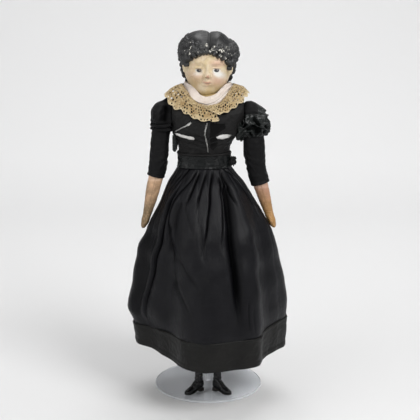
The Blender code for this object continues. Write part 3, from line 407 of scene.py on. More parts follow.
def makeWeave():  # plain weave: threads over and under, and thick places along the weft
    takes = (("Vector", "Vector", None), ("Pitch", "Float", 2000.0))
    tree, given, out = newGroup("weave", takes, ("Height", "Slub"))
    split = addNode(tree, "SeparateXYZ", {0: given["Vector"]}).outputs
    full = maths(tree, "MULTIPLY", given["Pitch"], math.pi)
    warp = maths(tree, "SINE", maths(tree, "MULTIPLY", split["X"], full))
    weft = maths(tree, "SINE", maths(tree, "MULTIPLY", split["Y"], full))
    over = maths(tree, "MULTIPLY", warp, weft)
    tree.links.new(maths(tree, "MULTIPLY_ADD", over, 0.5), out["Height"])
    stretched = addNode(tree, "Mapping", {0: given["Vector"], 3: (30, 900, 30)}).outputs[0]
    slub = addNode(tree, "TexNoise", {0: stretched, "Scale": 1.0, "Detail": 2.0}).outputs[0]
    tree.links.new(ranged(tree, slub, 0.35, 0.7), out["Slub"])
    return tree


def makeCloud():  # soft uneven patches
    takes = (
        ("Vector", "Vector", None),
        ("Size", "Float", 0.02),
        ("Low", "Float", 0.4),
        ("High", "Float", 0.65),
    )
    tree, given, out = newGroup("cloud", takes, ("Mask",))
    scale = maths(tree, "DIVIDE", 1.0, given["Size"])
    patchy = addNode(tree, "TexNoise", {0: given["Vector"], "Scale": scale, "Detail": 4.0}).outputs[0]
    tree.links.new(ranged(tree, patchy, given["Low"], given["High"]), out["Mask"])
    return tree


def vectors(tree, operation, inputs):
    return addNode(tree, "VectorMath", inputs, operation=operation).outputs


def makeSpot():  # a painted oval, seen square from the front
    takes = (
        ("Vector", "Vector", None),
        ("Centre", "Vector", (0, 0, 0)),
        ("Reach", "Vector", (1, 1, 1)),
        ("Turn", "Float", 0.0),
        ("Edge", "Float", 0.2),
    )
    tree, given, out = newGroup("paintedSpot", takes, ("Mask",))
    off = vectors(tree, "SUBTRACT", {0: given["Vector"], 1: given["Centre"]})[0]
    turned = addNode(tree, "VectorRotate", {0: off, 3: given["Turn"]}, rotation_type="Y_AXIS").outputs[0]
    shares = vectors(tree, "DIVIDE", {0: turned, 1: given["Reach"]})[0]
    flat = vectors(tree, "MULTIPLY", {0: shares, 1: (1, 0, 1)})[0]
    far = vectors(tree, "LENGTH", {0: flat})["Value"]
    outer, inner = maths(tree, "ADD", 1.0, given["Edge"]), maths(tree, "SUBTRACT", 1.0, given["Edge"])
    tree.links.new(ranged(tree, far, outer, inner), out["Mask"])
    return tree


def cellEdges(tree, place, scale):  # distance to the nearest line between cells
    inputs = {0: place, "Scale": scale}
    return addNode(tree, "TexVoronoi", inputs, feature="DISTANCE_TO_EDGE").outputs["Distance"]


def makeCraze():  # hairline cracks in old paint
    takes = (("Vector", "Vector", None), ("Size", "Float", 0.01), ("Width", "Float", 0.03))
    tree, given, out = newGroup("crazing", takes, ("Mask",))
    scale = maths(tree, "DIVIDE", 1.0, given["Size"])
    small, large = maths(tree, "MULTIPLY", scale, 1.7), maths(tree, "MULTIPLY", scale, 0.5)
    bent = addNode(tree, "TexNoise", {0: given["Vector"], "Scale": small}).outputs[1]
    shift = vectors(tree, "SCALE", {0: bent, "Scale": maths(tree, "MULTIPLY", given["Size"], 0.6)})[0]
    moved = vectors(tree, "ADD", {0: given["Vector"], 1: shift})[0]
    lines = ranged(tree, cellEdges(tree, moved, scale), given["Width"], 0.0)
    some = addNode(tree, "TexNoise", {0: given["Vector"], "Scale": large}).outputs[0]
    tree.links.new(maths(tree, "MULTIPLY", lines, ranged(tree, some, 0.45, 0.6)), out["Mask"])
    return tree


def makeGrain():  # fine creased leather
    takes = (("Vector", "Vector", None), ("Size", "Float", 0.001))
    tree, given, out = newGroup("leatherGrain", takes, ("Height",))
    scale = maths(tree, "DIVIDE", 1.0, given["Size"])
    large = maths(tree, "MULTIPLY", scale, 0.3)
    soft = addNode(tree, "TexNoise", {0: given["Vector"], "Scale": large, "Detail": 3.0}).outputs[0]
    pebble = ranged(tree, cellEdges(tree, given["Vector"], scale), 0.0, 0.25)
    tree.links.new(maths(tree, "MULTIPLY", pebble, soft), out["Height"])
    return tree


weave, cloud, paintedSpot = makeWeave(), makeCloud(), makeSpot()
crazing, leatherGrain = makeCraze(), makeGrain()


def cloudy(tree, place, size, low, high):
    return useGroup(tree, cloud, {"Vector": place, "Size": size, "Low": low, "High": high})["Mask"]


def marked(tree, name):  # a number painted on the piece's points
    return addNode(tree, "Attribute", attribute_name=name).outputs["Fac"]


def clothPlace(tree):
    return addNode(tree, "TexCoord").outputs["UV"]


def reliefTo(tree, shader, height, depth, strength=1.0):
    node = addNode(tree, "Bump", {"Height": height, "Distance": depth, "Strength": strength})
    tree.links.new(node.outputs[0], shader["Normal"])


def clothFinish(name, dark, pale, pitch, roughness, sheen, gloss, dusty=None, folded=False):
    # woven cloth: two tones in soft patches, thread relief, and dust where it has settled
    finish, tree, shader = newFinish(
        name, Sheen_Weight=sheen, Sheen_Roughness=0.4, Specular_IOR_Level=gloss
    )
    thread = useGroup(tree, weave, {"Vector": clothPlace(tree), "Pitch": pitch})
    place = objectPlace(tree)
    faded = maths(tree, "MULTIPLY", cloudy(tree, place, 0.03, 0.35, 0.7), 0.5)
    slubs = maths(tree, "MULTIPLY", thread["Slub"], 0.35)
    colour = tint(tree, maths(tree, "ADD", slubs, faded), dark, pale)
    if dusty:
        colour = glaze(tree, colour, cloudy(tree, place, 0.012, 0.55, 0.75), 0.5, dusty)
    if folded:  # darker and duller down in a fold: painted shade
        deep = marked(tree, "deep")
        colour = tint(tree, deep, colour, tuple(c * 0.2 for c in dark))
        tree.links.new(ranged(tree, deep, 0.0, 1.0, gloss, gloss * 0.1), shader["Specular IOR Level"])
    tree.links.new(colour, shader["Base Color"])
    rough = ranged(tree, thread["Slub"], 0.0, 1.0, roughness - 0.06, roughness + 0.06)
    tree.links.new(rough, shader["Roughness"])
    reliefTo(tree, shader, thread["Height"], 0.3 / pitch, 0.6)
    return finish


# each with its dark and pale tone, threads to the metre, roughness, sheen and gloss
silkFinish = clothFinish(
    "skirtSilk", (0.0045, 0.0045, 0.0056), (0.008, 0.008, 0.0098), 4200, 0.38, 0.0, 0.15, folded=True
)
bandFinish = clothFinish(
    "hemBandSilk", (0.0066, 0.0065, 0.0060), (0.0114, 0.0112, 0.0100), 3600, 0.48, 0.01, 0.16
)
crepeFinish = clothFinish(
    "bodiceSilk", (0.006, 0.0058, 0.0058), (0.012, 0.0115, 0.011), 3000, 0.55, 0.02, 0.17
)
sleeveFinish = clothFinish(
    "sleeveSilk", (0.0045, 0.0045, 0.0048), (0.0075, 0.0075, 0.008), 3000, 0.6, 0.01, 0.12, folded=True
)
satinFinish = clothFinish(
    "ruchedSatin", (0.005, 0.0065, 0.006), (0.010, 0.013, 0.012), 5200, 0.3, 0.0, 0.32, folded=True
)
bandSatin = clothFinish(
    "waistSatin", (0.0034, 0.0042, 0.0042), (0.0065, 0.0078, 0.0078), 5200, 0.32, 0.0, 0.24
)
velvetFinish = clothFinish(
    "velvetPatch", (0.002, 0.002, 0.002), (0.004, 0.004, 0.004), 2500, 0.9, 0.15, 0.1
)
cottonFinish = clothFinish(
    "whiteCotton", (0.80, 0.785, 0.75), (0.90, 0.885, 0.86), 1900, 0.85, 0.1, 0.3, (0.72, 0.66, 0.56)
)
ribbonFinish = clothFinish(
    "neckRibbon", (0.62, 0.53, 0.47), (0.80, 0.74, 0.68), 2600, 0.5, 0.1, 0.4, (0.58, 0.46, 0.34)
)
muslinFinish = clothFinish(
    "stuffedMuslin", (0.56, 0.48, 0.36), (0.70, 0.63, 0.51), 1400, 0.9, 0.1, 0.3, (0.42, 0.33, 0.21)
)


def laceThread():
    finish, tree, shader = newFinish("creamLace", Sheen_Weight=0.1, Specular_IOR_Level=0.25, Roughness=0.85)
    place, cloth = objectPlace(tree), clothPlace(tree)
    broad = cloudy(tree, place, 0.016, 0.36, 0.68)
    fine = cloudy(tree, place, 0.0022, 0.35, 0.7)
    colour = tint(tree, broad, (0.36, 0.245, 0.108), (0.50, 0.385, 0.205))
    colour = glaze(tree, colour, fine, 0.75, (0.18, 0.10, 0.034))
    pale = marked(tree, "pale")
    colour = glaze(tree, colour, pale, 0.7, (0.66, 0.55, 0.35))
    tree.links.new(colour, shader["Base Color"])
    knots = addNode(tree, "TexVoronoi", {0: cloth, "Scale": 1500.0}).outputs["Distance"]
    reliefTo(tree, shader, knots, 0.0004, 0.8)
    return finish


laceFinish = laceThread()

headPlace = {"middle": (0, 0.002, 0.4633), "roll": math.radians(3)}
paint = {
    "skin": (0.69, 0.55, 0.37),
    "yellowed": (0.61, 0.48, 0.27),
    "pink": (0.67, 0.42, 0.31),
    "bare": (0.74, 0.64, 0.48),
    # dirt in the cracks and grime, also used as painted shade under the lids, in the eye corners and
    # nostrils and along the nose
    "soilAndShade": (0.27, 0.18, 0.09),
    # yellowed paint, also used as painted shade along the jaw and under the chin
    "yellowingAndShade": (0.36, 0.25, 0.09),
    "patch": (0.80, 0.78, 0.74),
    "lip": (0.45, 0.22, 0.15),
    "brow": (0.46, 0.30, 0.19),
    "lid": (0.12, 0.075, 0.045),
    "white": (0.66, 0.63, 0.57),
    "iris": (0.035, 0.034, 0.038),
}
faceSpots = (
    # colour, strength, middle across and up in mm, reach across and up, turn in degrees, edge
    ("pink", 0.5, (-15.5, -17.5), (8, 7.5), 0, 0.9),
    ("pink", 0.7, (14.0, -21.5), (8.5, 7), 0, 0.9),
    ("pink", 0.75, (12, 2.5), (8, 4.5), 6, 0.9),
    ("bare", 0.45, (0, -9), (2.0, 6.5), 0, 0.8),
    # yellowed paint and painted shade along the jaw and under the chin
    ("yellowingAndShade", 0.55, (-17, -27), (7, 9), 30, 0.9),
    ("yellowingAndShade", 0.5, (15, -31), (9, 6), -30, 0.9),
    ("yellowingAndShade", 0.9, (2, -40), (20, 7), 0, 0.8),
    ("bare", 0.5, (-6, -30), (5, 5), 0, 0.9),
    ("patch", 0.75, (15.4, -12), (7.4, 4.2), -14, 0.7),
    ("patch", 0.85, (13.5, -11), (5.2, 2.8), -10, 0.6),
    ("patch", 0.55, (-12.2, -12.4), (5.0, 2.2), 6, 0.75),
    ("brow", 0.22, (-12.5, 1.6), (6.0, 0.9), 4, 0.9),
    ("brow", 0.32, (12.4, 1.4), (6.4, 1.0), -3, 0.9),
    # painted shade in the creases above the lids
    ("soilAndShade", 0.12, (-11.3, -4.2), (5.6, 1.3), 0, 0.9),
    ("soilAndShade", 0.12, (11.6, -3.6), (5.6, 1.3), 0, 0.9),
    ("white", 0.85, (-11.3, -8.5), (4.9, 2.6), -3, 0.22),
    ("patch", 0.9, (11.6, -7.2), (5.0, 2.8), 3, 0.25),
    ("iris", 1.0, (-11.0, -8.2), (3.2, 2.2), 0, 0.2),
    ("iris", 1.0, (11.6, -7.0), (3.3, 2.2), 0, 0.2),
    # painted highlight: a white glint in each iris
    ("white", 0.7, (-10.0, -7.6), (0.5, 0.5), 0, 0.3),
    ("white", 0.7, (12.6, -6.3), (0.5, 0.5), 0, 0.3),
    ("lid", 0.85, (-11.2, -6.2), (4.4, 0.8), 2, 0.5),
    ("lid", 0.85, (11.6, -5.1), (4.4, 0.8), -2, 0.5),
    # painted shade in the inner corners of the eyes
    ("soilAndShade", 0.4, (-8.0, -9.2), (1.6, 2.6), -20, 0.8),
    ("soilAndShade", 0.3, (6.6, -7.4), (1.2, 2.2), 10, 0.8),
    ("lip", 0.7, (-2.2, -23.0), (3.4, 1.1), -8, 0.5),
    ("lip", 0.7, (2.2, -23.0), (3.4, 1.1), 8, 0.5),
    ("lip", 0.45, (0, -25.2), (3.9, 1.3), 0, 0.5),
    ("lid", 0.65, (0, -24.0), (5.6, 0.5), 0, 0.6),
    # painted shade in the nostrils
    ("soilAndShade", 0.75, (-1.6, -16.4), (1.3, 0.85), 12, 0.5),
    ("soilAndShade", 0.75, (1.6, -16.4), (1.3, 0.85), -12, 0.5),
    ("lip", 0.8, (0.8, -15.2), (1.9, 2.2), 0, 0.8),
    # painted shade along the wings of the nose
    ("soilAndShade", 0.4, (3.9, -14.4), (0.7, 1.9), 0, 0.7),
    ("soilAndShade", 0.3, (-3.9, -14.4), (0.7, 1.9), 0, 0.7),
)


def paintedFace():
    finish, tree, shader = newFinish("paintedFace", Specular_IOR_Level=0.4, Coat_Roughness=0.3)
    place = objectPlace(tree)
    frameOfHead = {0: place, 1: headPlace["middle"], 2: (0, headPlace["roll"], 0)}
    local = addNode(tree, "Mapping", frameOfHead, vector_type="TEXTURE").outputs[0]
    inMm = vectors(tree, "SCALE", {0: local, "Scale": 1 / mm})[0]
    front = ranged(tree, addNode(tree, "SeparateXYZ", {0: inMm}).outputs["Y"], -4.0, -10.0)
    broad = cloudy(tree, place, 0.019, 0.38, 0.66)
    fine = cloudy(tree, place, 0.0045, 0.42, 0.72)
    colour = tint(tree, broad, paint["skin"], paint["yellowed"])
    colour = glaze(tree, colour, fine, 0.6, paint["bare"])
    blush = cloudy(tree, place, 0.0085, 0.5, 0.68)
    colour = glaze(tree, colour, blush, 0.45, paint["pink"])
    for shade, strength, (x, z), (wide, tall), turn, edge in faceSpots:
        mask = useGroup(tree, paintedSpot, {
            "Vector": inMm,
            "Centre": (x, 0, z),
            "Reach": (wide, 1, tall),
            "Turn": math.radians(turn),
            "Edge": edge,
        })["Mask"]
        mask = maths(tree, "MULTIPLY", maths(tree, "MULTIPLY", mask, front), strength)
        colour = tint(tree, mask, colour, paint[shade])
    lobe = marked(tree, "lobe")
    colour = glaze(tree, colour, lobe, 0.6, paint["bare"])
    cracks = useGroup(tree, crazing, {"Vector": place, "Size": 0.0115, "Width": 0.026})["Mask"]
    colour = glaze(tree, colour, cracks, 0.55, paint["soilAndShade"])
    grime = cloudy(tree, place, 0.0016, 0.6, 0.74)
    tree.links.new(glaze(tree, colour, grime, 0.35, paint["soilAndShade"]), shader["Base Color"])
    tree.links.new(ranged(tree, fine, 0.0, 1.0, 0.36, 0.62), shader["Roughness"])
    height = maths(tree, "SUBTRACT", maths(tree, "MULTIPLY", fine, 0.4), cracks)
    reliefTo(tree, shader, height, 0.00025, 0.6)
    return finish


def paintedHair():
    finish, tree, shader = newFinish("paintedHair", Specular_IOR_Level=0.45)
    place = objectPlace(tree)
    ridge = marked(tree, "ridge")
    worn = marked(tree, "worn")
    broad = cloudy(tree, place, 0.014, 0.4, 0.68)
    low = maths(tree, "SUBTRACT", 0.74, maths(tree, "MULTIPLY", worn, 0.24))
    high = maths(tree, "ADD", low, 0.05)
    fine = cloudy(tree, place, 0.0036, low, high)
    dust = maths(tree, "MULTIPLY", broad, 0.75)
    colour = tint(tree, dust, (0.011, 0.011, 0.0115), (0.036, 0.036, 0.036))
    colour = glaze(tree, colour, ridge, 0.3, (0.06, 0.06, 0.058))
    specks = maths(tree, "MULTIPLY", ranged(tree, ridge, 0.25, 0.5), fine)
    colour = tint(tree, specks, colour, (0.62, 0.60, 0.53))
    tree.links.new(colour, shader["Base Color"])
    tree.links.new(ranged(tree, broad, 0.0, 1.0, 0.30, 0.52), shader["Roughness"])
    reliefTo(tree, shader, fine, 0.0002, 0.5)
    return finish


def kidLeather(name, top, hand, seamTone):
    finish, tree, shader = newFinish(name, Specular_IOR_Level=0.35)
    place = objectPlace(tree)
    low = marked(tree, "handward")
    seam = marked(tree, "seam")
    broad = cloudy(tree, place, 0.011, 0.36, 0.68)
    fine = cloudy(tree, place, 0.0026, 0.45, 0.75)
    colour = tint(tree, low, top, hand)
    colour = glaze(tree, colour, broad, 0.55, tuple(c * 0.62 for c in hand))
    colour = glaze(tree, colour, fine, 0.4, tuple(min(1, c * 1.3) for c in top))
    cuff = marked(tree, "cuff")
    colour = glaze(tree, colour, cuff, 0.6, tuple(min(1, c * 1.1 + 0.12) for c in top))
    colour = glaze(tree, colour, seam, 0.85, seamTone)
    tree.links.new(colour, shader["Base Color"])
    tree.links.new(ranged(tree, fine, 0.0, 1.0, 0.48, 0.68), shader["Roughness"])
    grain = useGroup(tree, leatherGrain, {"Vector": place, "Size": 0.0011})["Height"]
    reliefTo(tree, shader, grain, 0.00018, 0.7)
    return finish


def bootLeather(name, tone, worn, roughness):
    finish, tree, shader = newFinish(name, Specular_IOR_Level=0.3, Coat_Weight=0.2, Coat_Roughness=0.15)
    place = objectPlace(tree)
    broad = cloudy(tree, place, 0.007, 0.5, 0.75)
    tree.links.new(tint(tree, broad, tone, worn), shader["Base Color"])
    tree.links.new(ranged(tree, broad, 0.0, 1.0, roughness, roughness + 0.2), shader["Roughness"])
    grain = useGroup(tree, leatherGrain, {"Vector": place, "Size": 0.0008})["Height"]
    reliefTo(tree, shader, grain, 0.0001, 0.6)
    return finish


def clearAcrylic():
    finish, tree, shader = newFinish(
        "clearAcrylic", Base_Color=(0.94, 0.955, 0.98, 1), Transmission_Weight=1.0, IOR=1.49, Metallic=0.0
    )
    place = objectPlace(tree)
    scuffs = useGroup(tree, crazing, {"Vector": place, "Size": 0.02, "Width": 0.012})["Mask"]
    tree.links.new(ranged(tree, scuffs, 0.0, 1.0, 0.03, 0.25), shader["Roughness"])
    clear = addNode(tree, "BsdfTransparent", {0: (0.96, 0.97, 0.98, 1)})
    shadow = addNode(tree, "LightPath").outputs["Is Shadow Ray"]
    glass = tree.nodes["Principled BSDF"].outputs[0]
    normal = addNode(tree, "NewGeometry").outputs["True Normal"]
    upright = addNode(tree, "SeparateXYZ", {0: normal}).outputs["Z"]
    sawn = ranged(tree, maths(tree, "ABSOLUTE", upright), 0.6, 0.2, 0.0, 0.45)  # the edge catches the light
    pale = addNode(tree, "BsdfDiffuse", {0: (0.9, 0.92, 0.95, 1)}).outputs[0]
    glass = addNode(tree, "MixShader", {0: sawn, 1: glass, 2: pale}).outputs[0]
    mixed = addNode(tree, "MixShader", {0: shadow, 1: glass, 2: clear.outputs[0]})
    tree.links.new(mixed.outputs[0], tree.nodes["Material Output"].inputs["Surface"])
    return finish


def drawnWire():
    finish, tree, shader = newFinish("drawnWire", Metallic=1.0)
    place = objectPlace(tree)
    broad = cloudy(tree, place, 0.006, 0.4, 0.7)
    tree.links.new(tint(tree, broad, (0.55, 0.55, 0.56), (0.40, 0.39, 0.38)), shader["Base Color"])
    tree.links.new(ranged(tree, broad, 0.0, 1.0, 0.22, 0.42), shader["Roughness"])
    return finish


faceFinish, hairFinish = paintedFace(), paintedHair()
leftKid = kidLeather("leftKid", (0.42, 0.235, 0.155), (0.42, 0.235, 0.085), (0.10, 0.055, 0.03))
rightKid = kidLeather("rightKid", (0.56, 0.36, 0.22), (0.21, 0.145, 0.075), (0.05, 0.03, 0.015))
bootFinish = bootLeather("bootLeather", (0.0024, 0.0024, 0.003), (0.0055, 0.0052, 0.0055), 0.2)
soleFinish = bootLeather("soleLeather", (0.012, 0.010, 0.009), (0.035, 0.028, 0.022), 0.5)
acrylicFinish, wireFinish = clearAcrylic(), drawnWire()
print("finishes made")


# The stuffed body's surface, which the clothes and the shoulder plate lie over
body = {
    "seat": 0.2381,
    "waist": 0.3413,
    "neck": 0.4253,
    "lean": -0.005,
    "square": 2.3,
    "armhole": 0.047,
    "stations": (
        # share below or above the waist, half width, front and back in mm
        (-1.0, 28.5, 8, 8),
        (-0.86, 32.5, 16, 19),
        (-0.62, 35.5, 24, 28),
        (-0.36, 34, 24, 26),
        (0.0, 31.5, 21, 21),
        (0.21, 33, 26, 22),
        (0.40, 42, 33, 24),
        (0.55, 45, 33, 25.5),
        (0.69, 53, 29, 26),
        (0.80, 53, 24, 25),
        (0.89, 45, 20, 22),
        (0.95, 31, 18, 19),
        (1.0, 17, 16, 17),
    ),
}


def leanAt(z):
    low = ease(body["seat"], body["waist"], z)
    high = 1 - ease(body["waist"], body["neck"], z)
    return body["lean"] * np.where(np.asarray(z) < body["waist"], low, high)


def bodyRaw(turn, z):
    turn, z = np.broadcast_arrays(np.asarray(turn, float), np.asarray(z, float))
    below = (z - body["waist"]) / (body["waist"] - body["seat"])
    above = (z - body["waist"]) / (body["neck"] - body["waist"])
    sizes = through(body["stations"], np.where(z < body["waist"], below, above)) * mm
    c, s = np.cos(turn), np.sin(turn)
    power = 2 / body["square"]
    x = sizes[..., 0] * np.sign(c) * np.abs(c) ** power
    y = np.where(s > 0, sizes[..., 2], sizes[..., 1]) * np.sign(s) * np.abs(s) ** power
    return np.stack([x + leanAt(z), y, z], -1)


def bodySpot(turn, z, off):  # a point a distance out from the body's surface, inside the armholes
    side = bodyRaw(turn + 0.03, z) - bodyRaw(turn - 0.03, z)
    top = np.minimum(z + 0.0012, body["neck"])
    up = bodyRaw(turn, top) - bodyRaw(turn, z - 0.0012)
    out = np.cross(side, up)
    out /= np.linalg.norm(out, axis=-1, keepdims=True) + 1e-12
    points = bodyRaw(turn, z) + out * np.asarray(off)[..., None]
    points[..., 0] = np.clip(points[..., 0], -body["armhole"], body["armhole"])
    return points


# Head and hair: one hollow moulding, painted
head = {
    "width": 31,
    "front": 31,
    "back": 34,
    "up": 36,
    "down": (47, 42),  # at the chin and at the nape
    "hair": 8.0,
    "swell": ((-25, 1.5), (0, 0), (10, 4), (21, 5.2), (29, 3), (35, 0), (36, 0)),  # more hair at the sides
    "hairline": (
        # degrees round from the middle of the face, height in mm
        (0, 13.5), (20, 11), (36, 6.5), (46, 3.5), (54, -3), (60, -6.5), (68, -1),
        (76, 3), (98, 3), (110, -18), (124, -26), (150, -26), (180, -24),
    ),
    "forms": (
        # place across and up, reach across and up, height, in mm
        ((0, -13.2), (3.7, 3.3), 4.8),
        ((0, -6.5), (2.6, 6.5), 2.4),
        ((10.5, -5.5), (6.5, 4.6), -3.4),
        ((11.3, -6.8), (4.6, 2.9), 3.2),
        ((12, 2), (8, 2.6), 1.0),
        ((15, -15.5), (8, 8), 1.9),
        ((0, -24), (5.8, 2.8), 2.4),
        ((0, -29.4), (6.5, 2.2), -1.2),
        ((0, -36), (9, 5.5), 2.8),
        ((3.0, -14.4), (1.8, 1.6), 1.4),
        ((1.7, -16.4), (1.0, 0.7), -1.2),
        ((0, -19.4), (1.0, 1.8), -0.6),
        ((0, -24.0), (4.6, 0.55), -1.25),
        ((5.2, -24.1), (1.1, 0.9), -0.8),
        ((1.6, -22.8), (1.5, 0.85), 0.7),
        ((0, -25.4), (3.0, 1.05), 0.9),
        ((11.3, -4.2), (5.4, 0.9), 0.6),
        ((11.3, -2.7), (5.4, 0.9), -0.3),
        ((11.3, -9.9), (4.8, 0.8), 0.5),
    ),
    "ear": {"place": (1, -6), "reach": (4.5, 7), "height": 2.6},
    "curls": {"pitch": 5.5, "reach": 3.9, "rows": 12, "seed": 4, "top": 25},
    "plate": {"low": 0.3953, "tall": 0.0488, "neck": 0.0145, "wide": 0.042},
}


def skullSpot(turn, polar):  # direction and point of the plain skull, in mm
    d = np.stack([np.sin(turn) * np.sin(polar), -np.cos(turn) * np.sin(polar), np.cos(polar)], -1)
    depth = np.where(d[..., 1] < 0, head["front"], head["back"])
    chin, nape = head["down"]
    below = nape + (chin - nape) * ease(0.3, -0.4, d[..., 1])
    tall = np.where(d[..., 2] > 0, head["up"], below)
    total = sum((d[..., k] / size) ** 2 for k, size in enumerate((head["width"], depth, tall)))
    return d, d / np.sqrt(total)[..., None]


def earPlace(p):  # distance from the ear's middle, about 1 at its rim, and 0 to 1 out to the side
    (y, z), (deep, tall) = head["ear"]["place"], head["ear"]["reach"]
    far = np.hypot((p[..., 1] - y) / deep, (p[..., 2] - z) / tall)
    return far, ease(0.6, 0.9, np.abs(p[..., 0]) / head["width"])


def earLobe(p):  # 0 to 1 over each ear
    far, aside = earPlace(p)
    return ease(1.5, 0.9, far) * aside


def faceRelief(p):
    relief = np.zeros(p.shape[:-1])
    for (x, z), (wide, tall), height in head["forms"]:
        for sign in (1, -1) if x else (1,):
            off = ((p[..., 0] - sign * x) / wide) ** 2 + ((p[..., 2] - z) / tall) ** 2
            relief += height * np.exp(-off)
    far, aside = earPlace(p)
    lobe = head["ear"]["height"] * bump(far, 0, 1)
    lobe += 1.1 * bump(far, 0.8, 0.22) - 1.7 * bump(far, 0.25, 0.3)  # its rim and its hollow
    return relief * ease(2, -4, p[..., 1]) + lobe * aside


def toWorld(local):  # mm in the head's own frame to metres in the shared frame
    turn = headPlace["roll"]
    x = local[..., 0] * math.cos(turn) + local[..., 2] * math.sin(turn)
    z = local[..., 2] * math.cos(turn) - local[..., 0] * math.sin(turn)
    return np.stack([x, local[..., 1], z], -1) * mm + np.array(headPlace["middle"])


def makeHead():
    marks = {}

    def faceSpot(across, up):
        turn = (across - 0.5) * math.tau
        turn = turn - 0.55 * np.sin(turn)
        polar = (1 - up) * math.pi
        polar = polar + 0.2 * np.sin(2 * (polar - 0.2)) * np.sin(polar)
        d, p = skullSpot(turn, polar)
        dents = 0.22 * ripples(p, 9, 21) * ease(5, -5, p[..., 1])
        marks["lobe"] = earLobe(p)
        return toWorld(p + d * (faceRelief(p) + dents)[..., None])

    face = gridPiece("head", 220, 170, faceSpot, faceFinish)
    paintPoints(face, "lobe", marks["lobe"])
    weld(face)
    editMesh(face, (bpy.ops.mesh.dissolve_degenerate, {"threshold": 1e-7}))

    def plateSpot(across, up):
        sizes, turn = head["plate"], across * math.tau
        z = sizes["low"] + up * sizes["tall"]
        plate = bodyRaw(turn, np.minimum(z, body["neck"]))
        neck = np.stack([sizes["neck"] * np.cos(turn), sizes["neck"] * np.sin(turn), z], -1)
        share = ease(0.423, 0.4275, z)[:, None]
        points = plate * (1 - share) + neck * share
        points[:, 2] = z
        points[:, 0] = np.clip(points[:, 0], -sizes["wide"], sizes["wide"])
        return points

    plate = gridPiece("shoulderPlate", 72, 48, plateSpot, faceFinish, closed=True)
    thicken(plate, 0.0025)
    whole = joined([face, plate], "paintedHead")
    smoothShade(whole, 60)
    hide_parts("shoulder_head")
    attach(whole, "doll_body")
    print("head:", len(whole.data.polygons), "faces")


def curlPlaces():  # rows of short curls from the hairline up, shifted row by row
    dice = np.random.default_rng(head["curls"]["seed"])
    pitch, found = head["curls"]["pitch"], []
    for row in range(head["curls"]["rows"]):
        turn = -math.pi + (row % 2) * 0.11
        while turn < math.pi:
            line = through(head["hairline"], abs(math.degrees(turn)))[0]
            height = line + 1.6 + row * pitch * 0.86 + dice.uniform(-0.8, 0.8)
            limit = head["curls"]["top"] - 5 * math.cos(turn)
            if height < limit and abs(turn) > 0.06:
                low, high = 0.0, math.pi
                for _ in range(40):
                    mid = (low + high) / 2
                    if skullSpot(np.float64(turn), np.float64(mid))[1][2] > height:
                        low = mid
                    else:
                        high = mid
                spot = skullSpot(np.float64(turn), np.float64(low))[1]
                reach = head["curls"]["reach"] * dice.uniform(0.82, 1.15) * (0.82 if row == 0 else 1)
                found.append((spot, reach, row, dice.uniform(0, math.tau), dice.choice((-1, 1))))
            around = max(14, math.hypot(*skullSpot(np.float64(turn), np.float64(1.4))[1][:2]))
            turn += pitch * dice.uniform(0.85, 1.15) / around
    return found


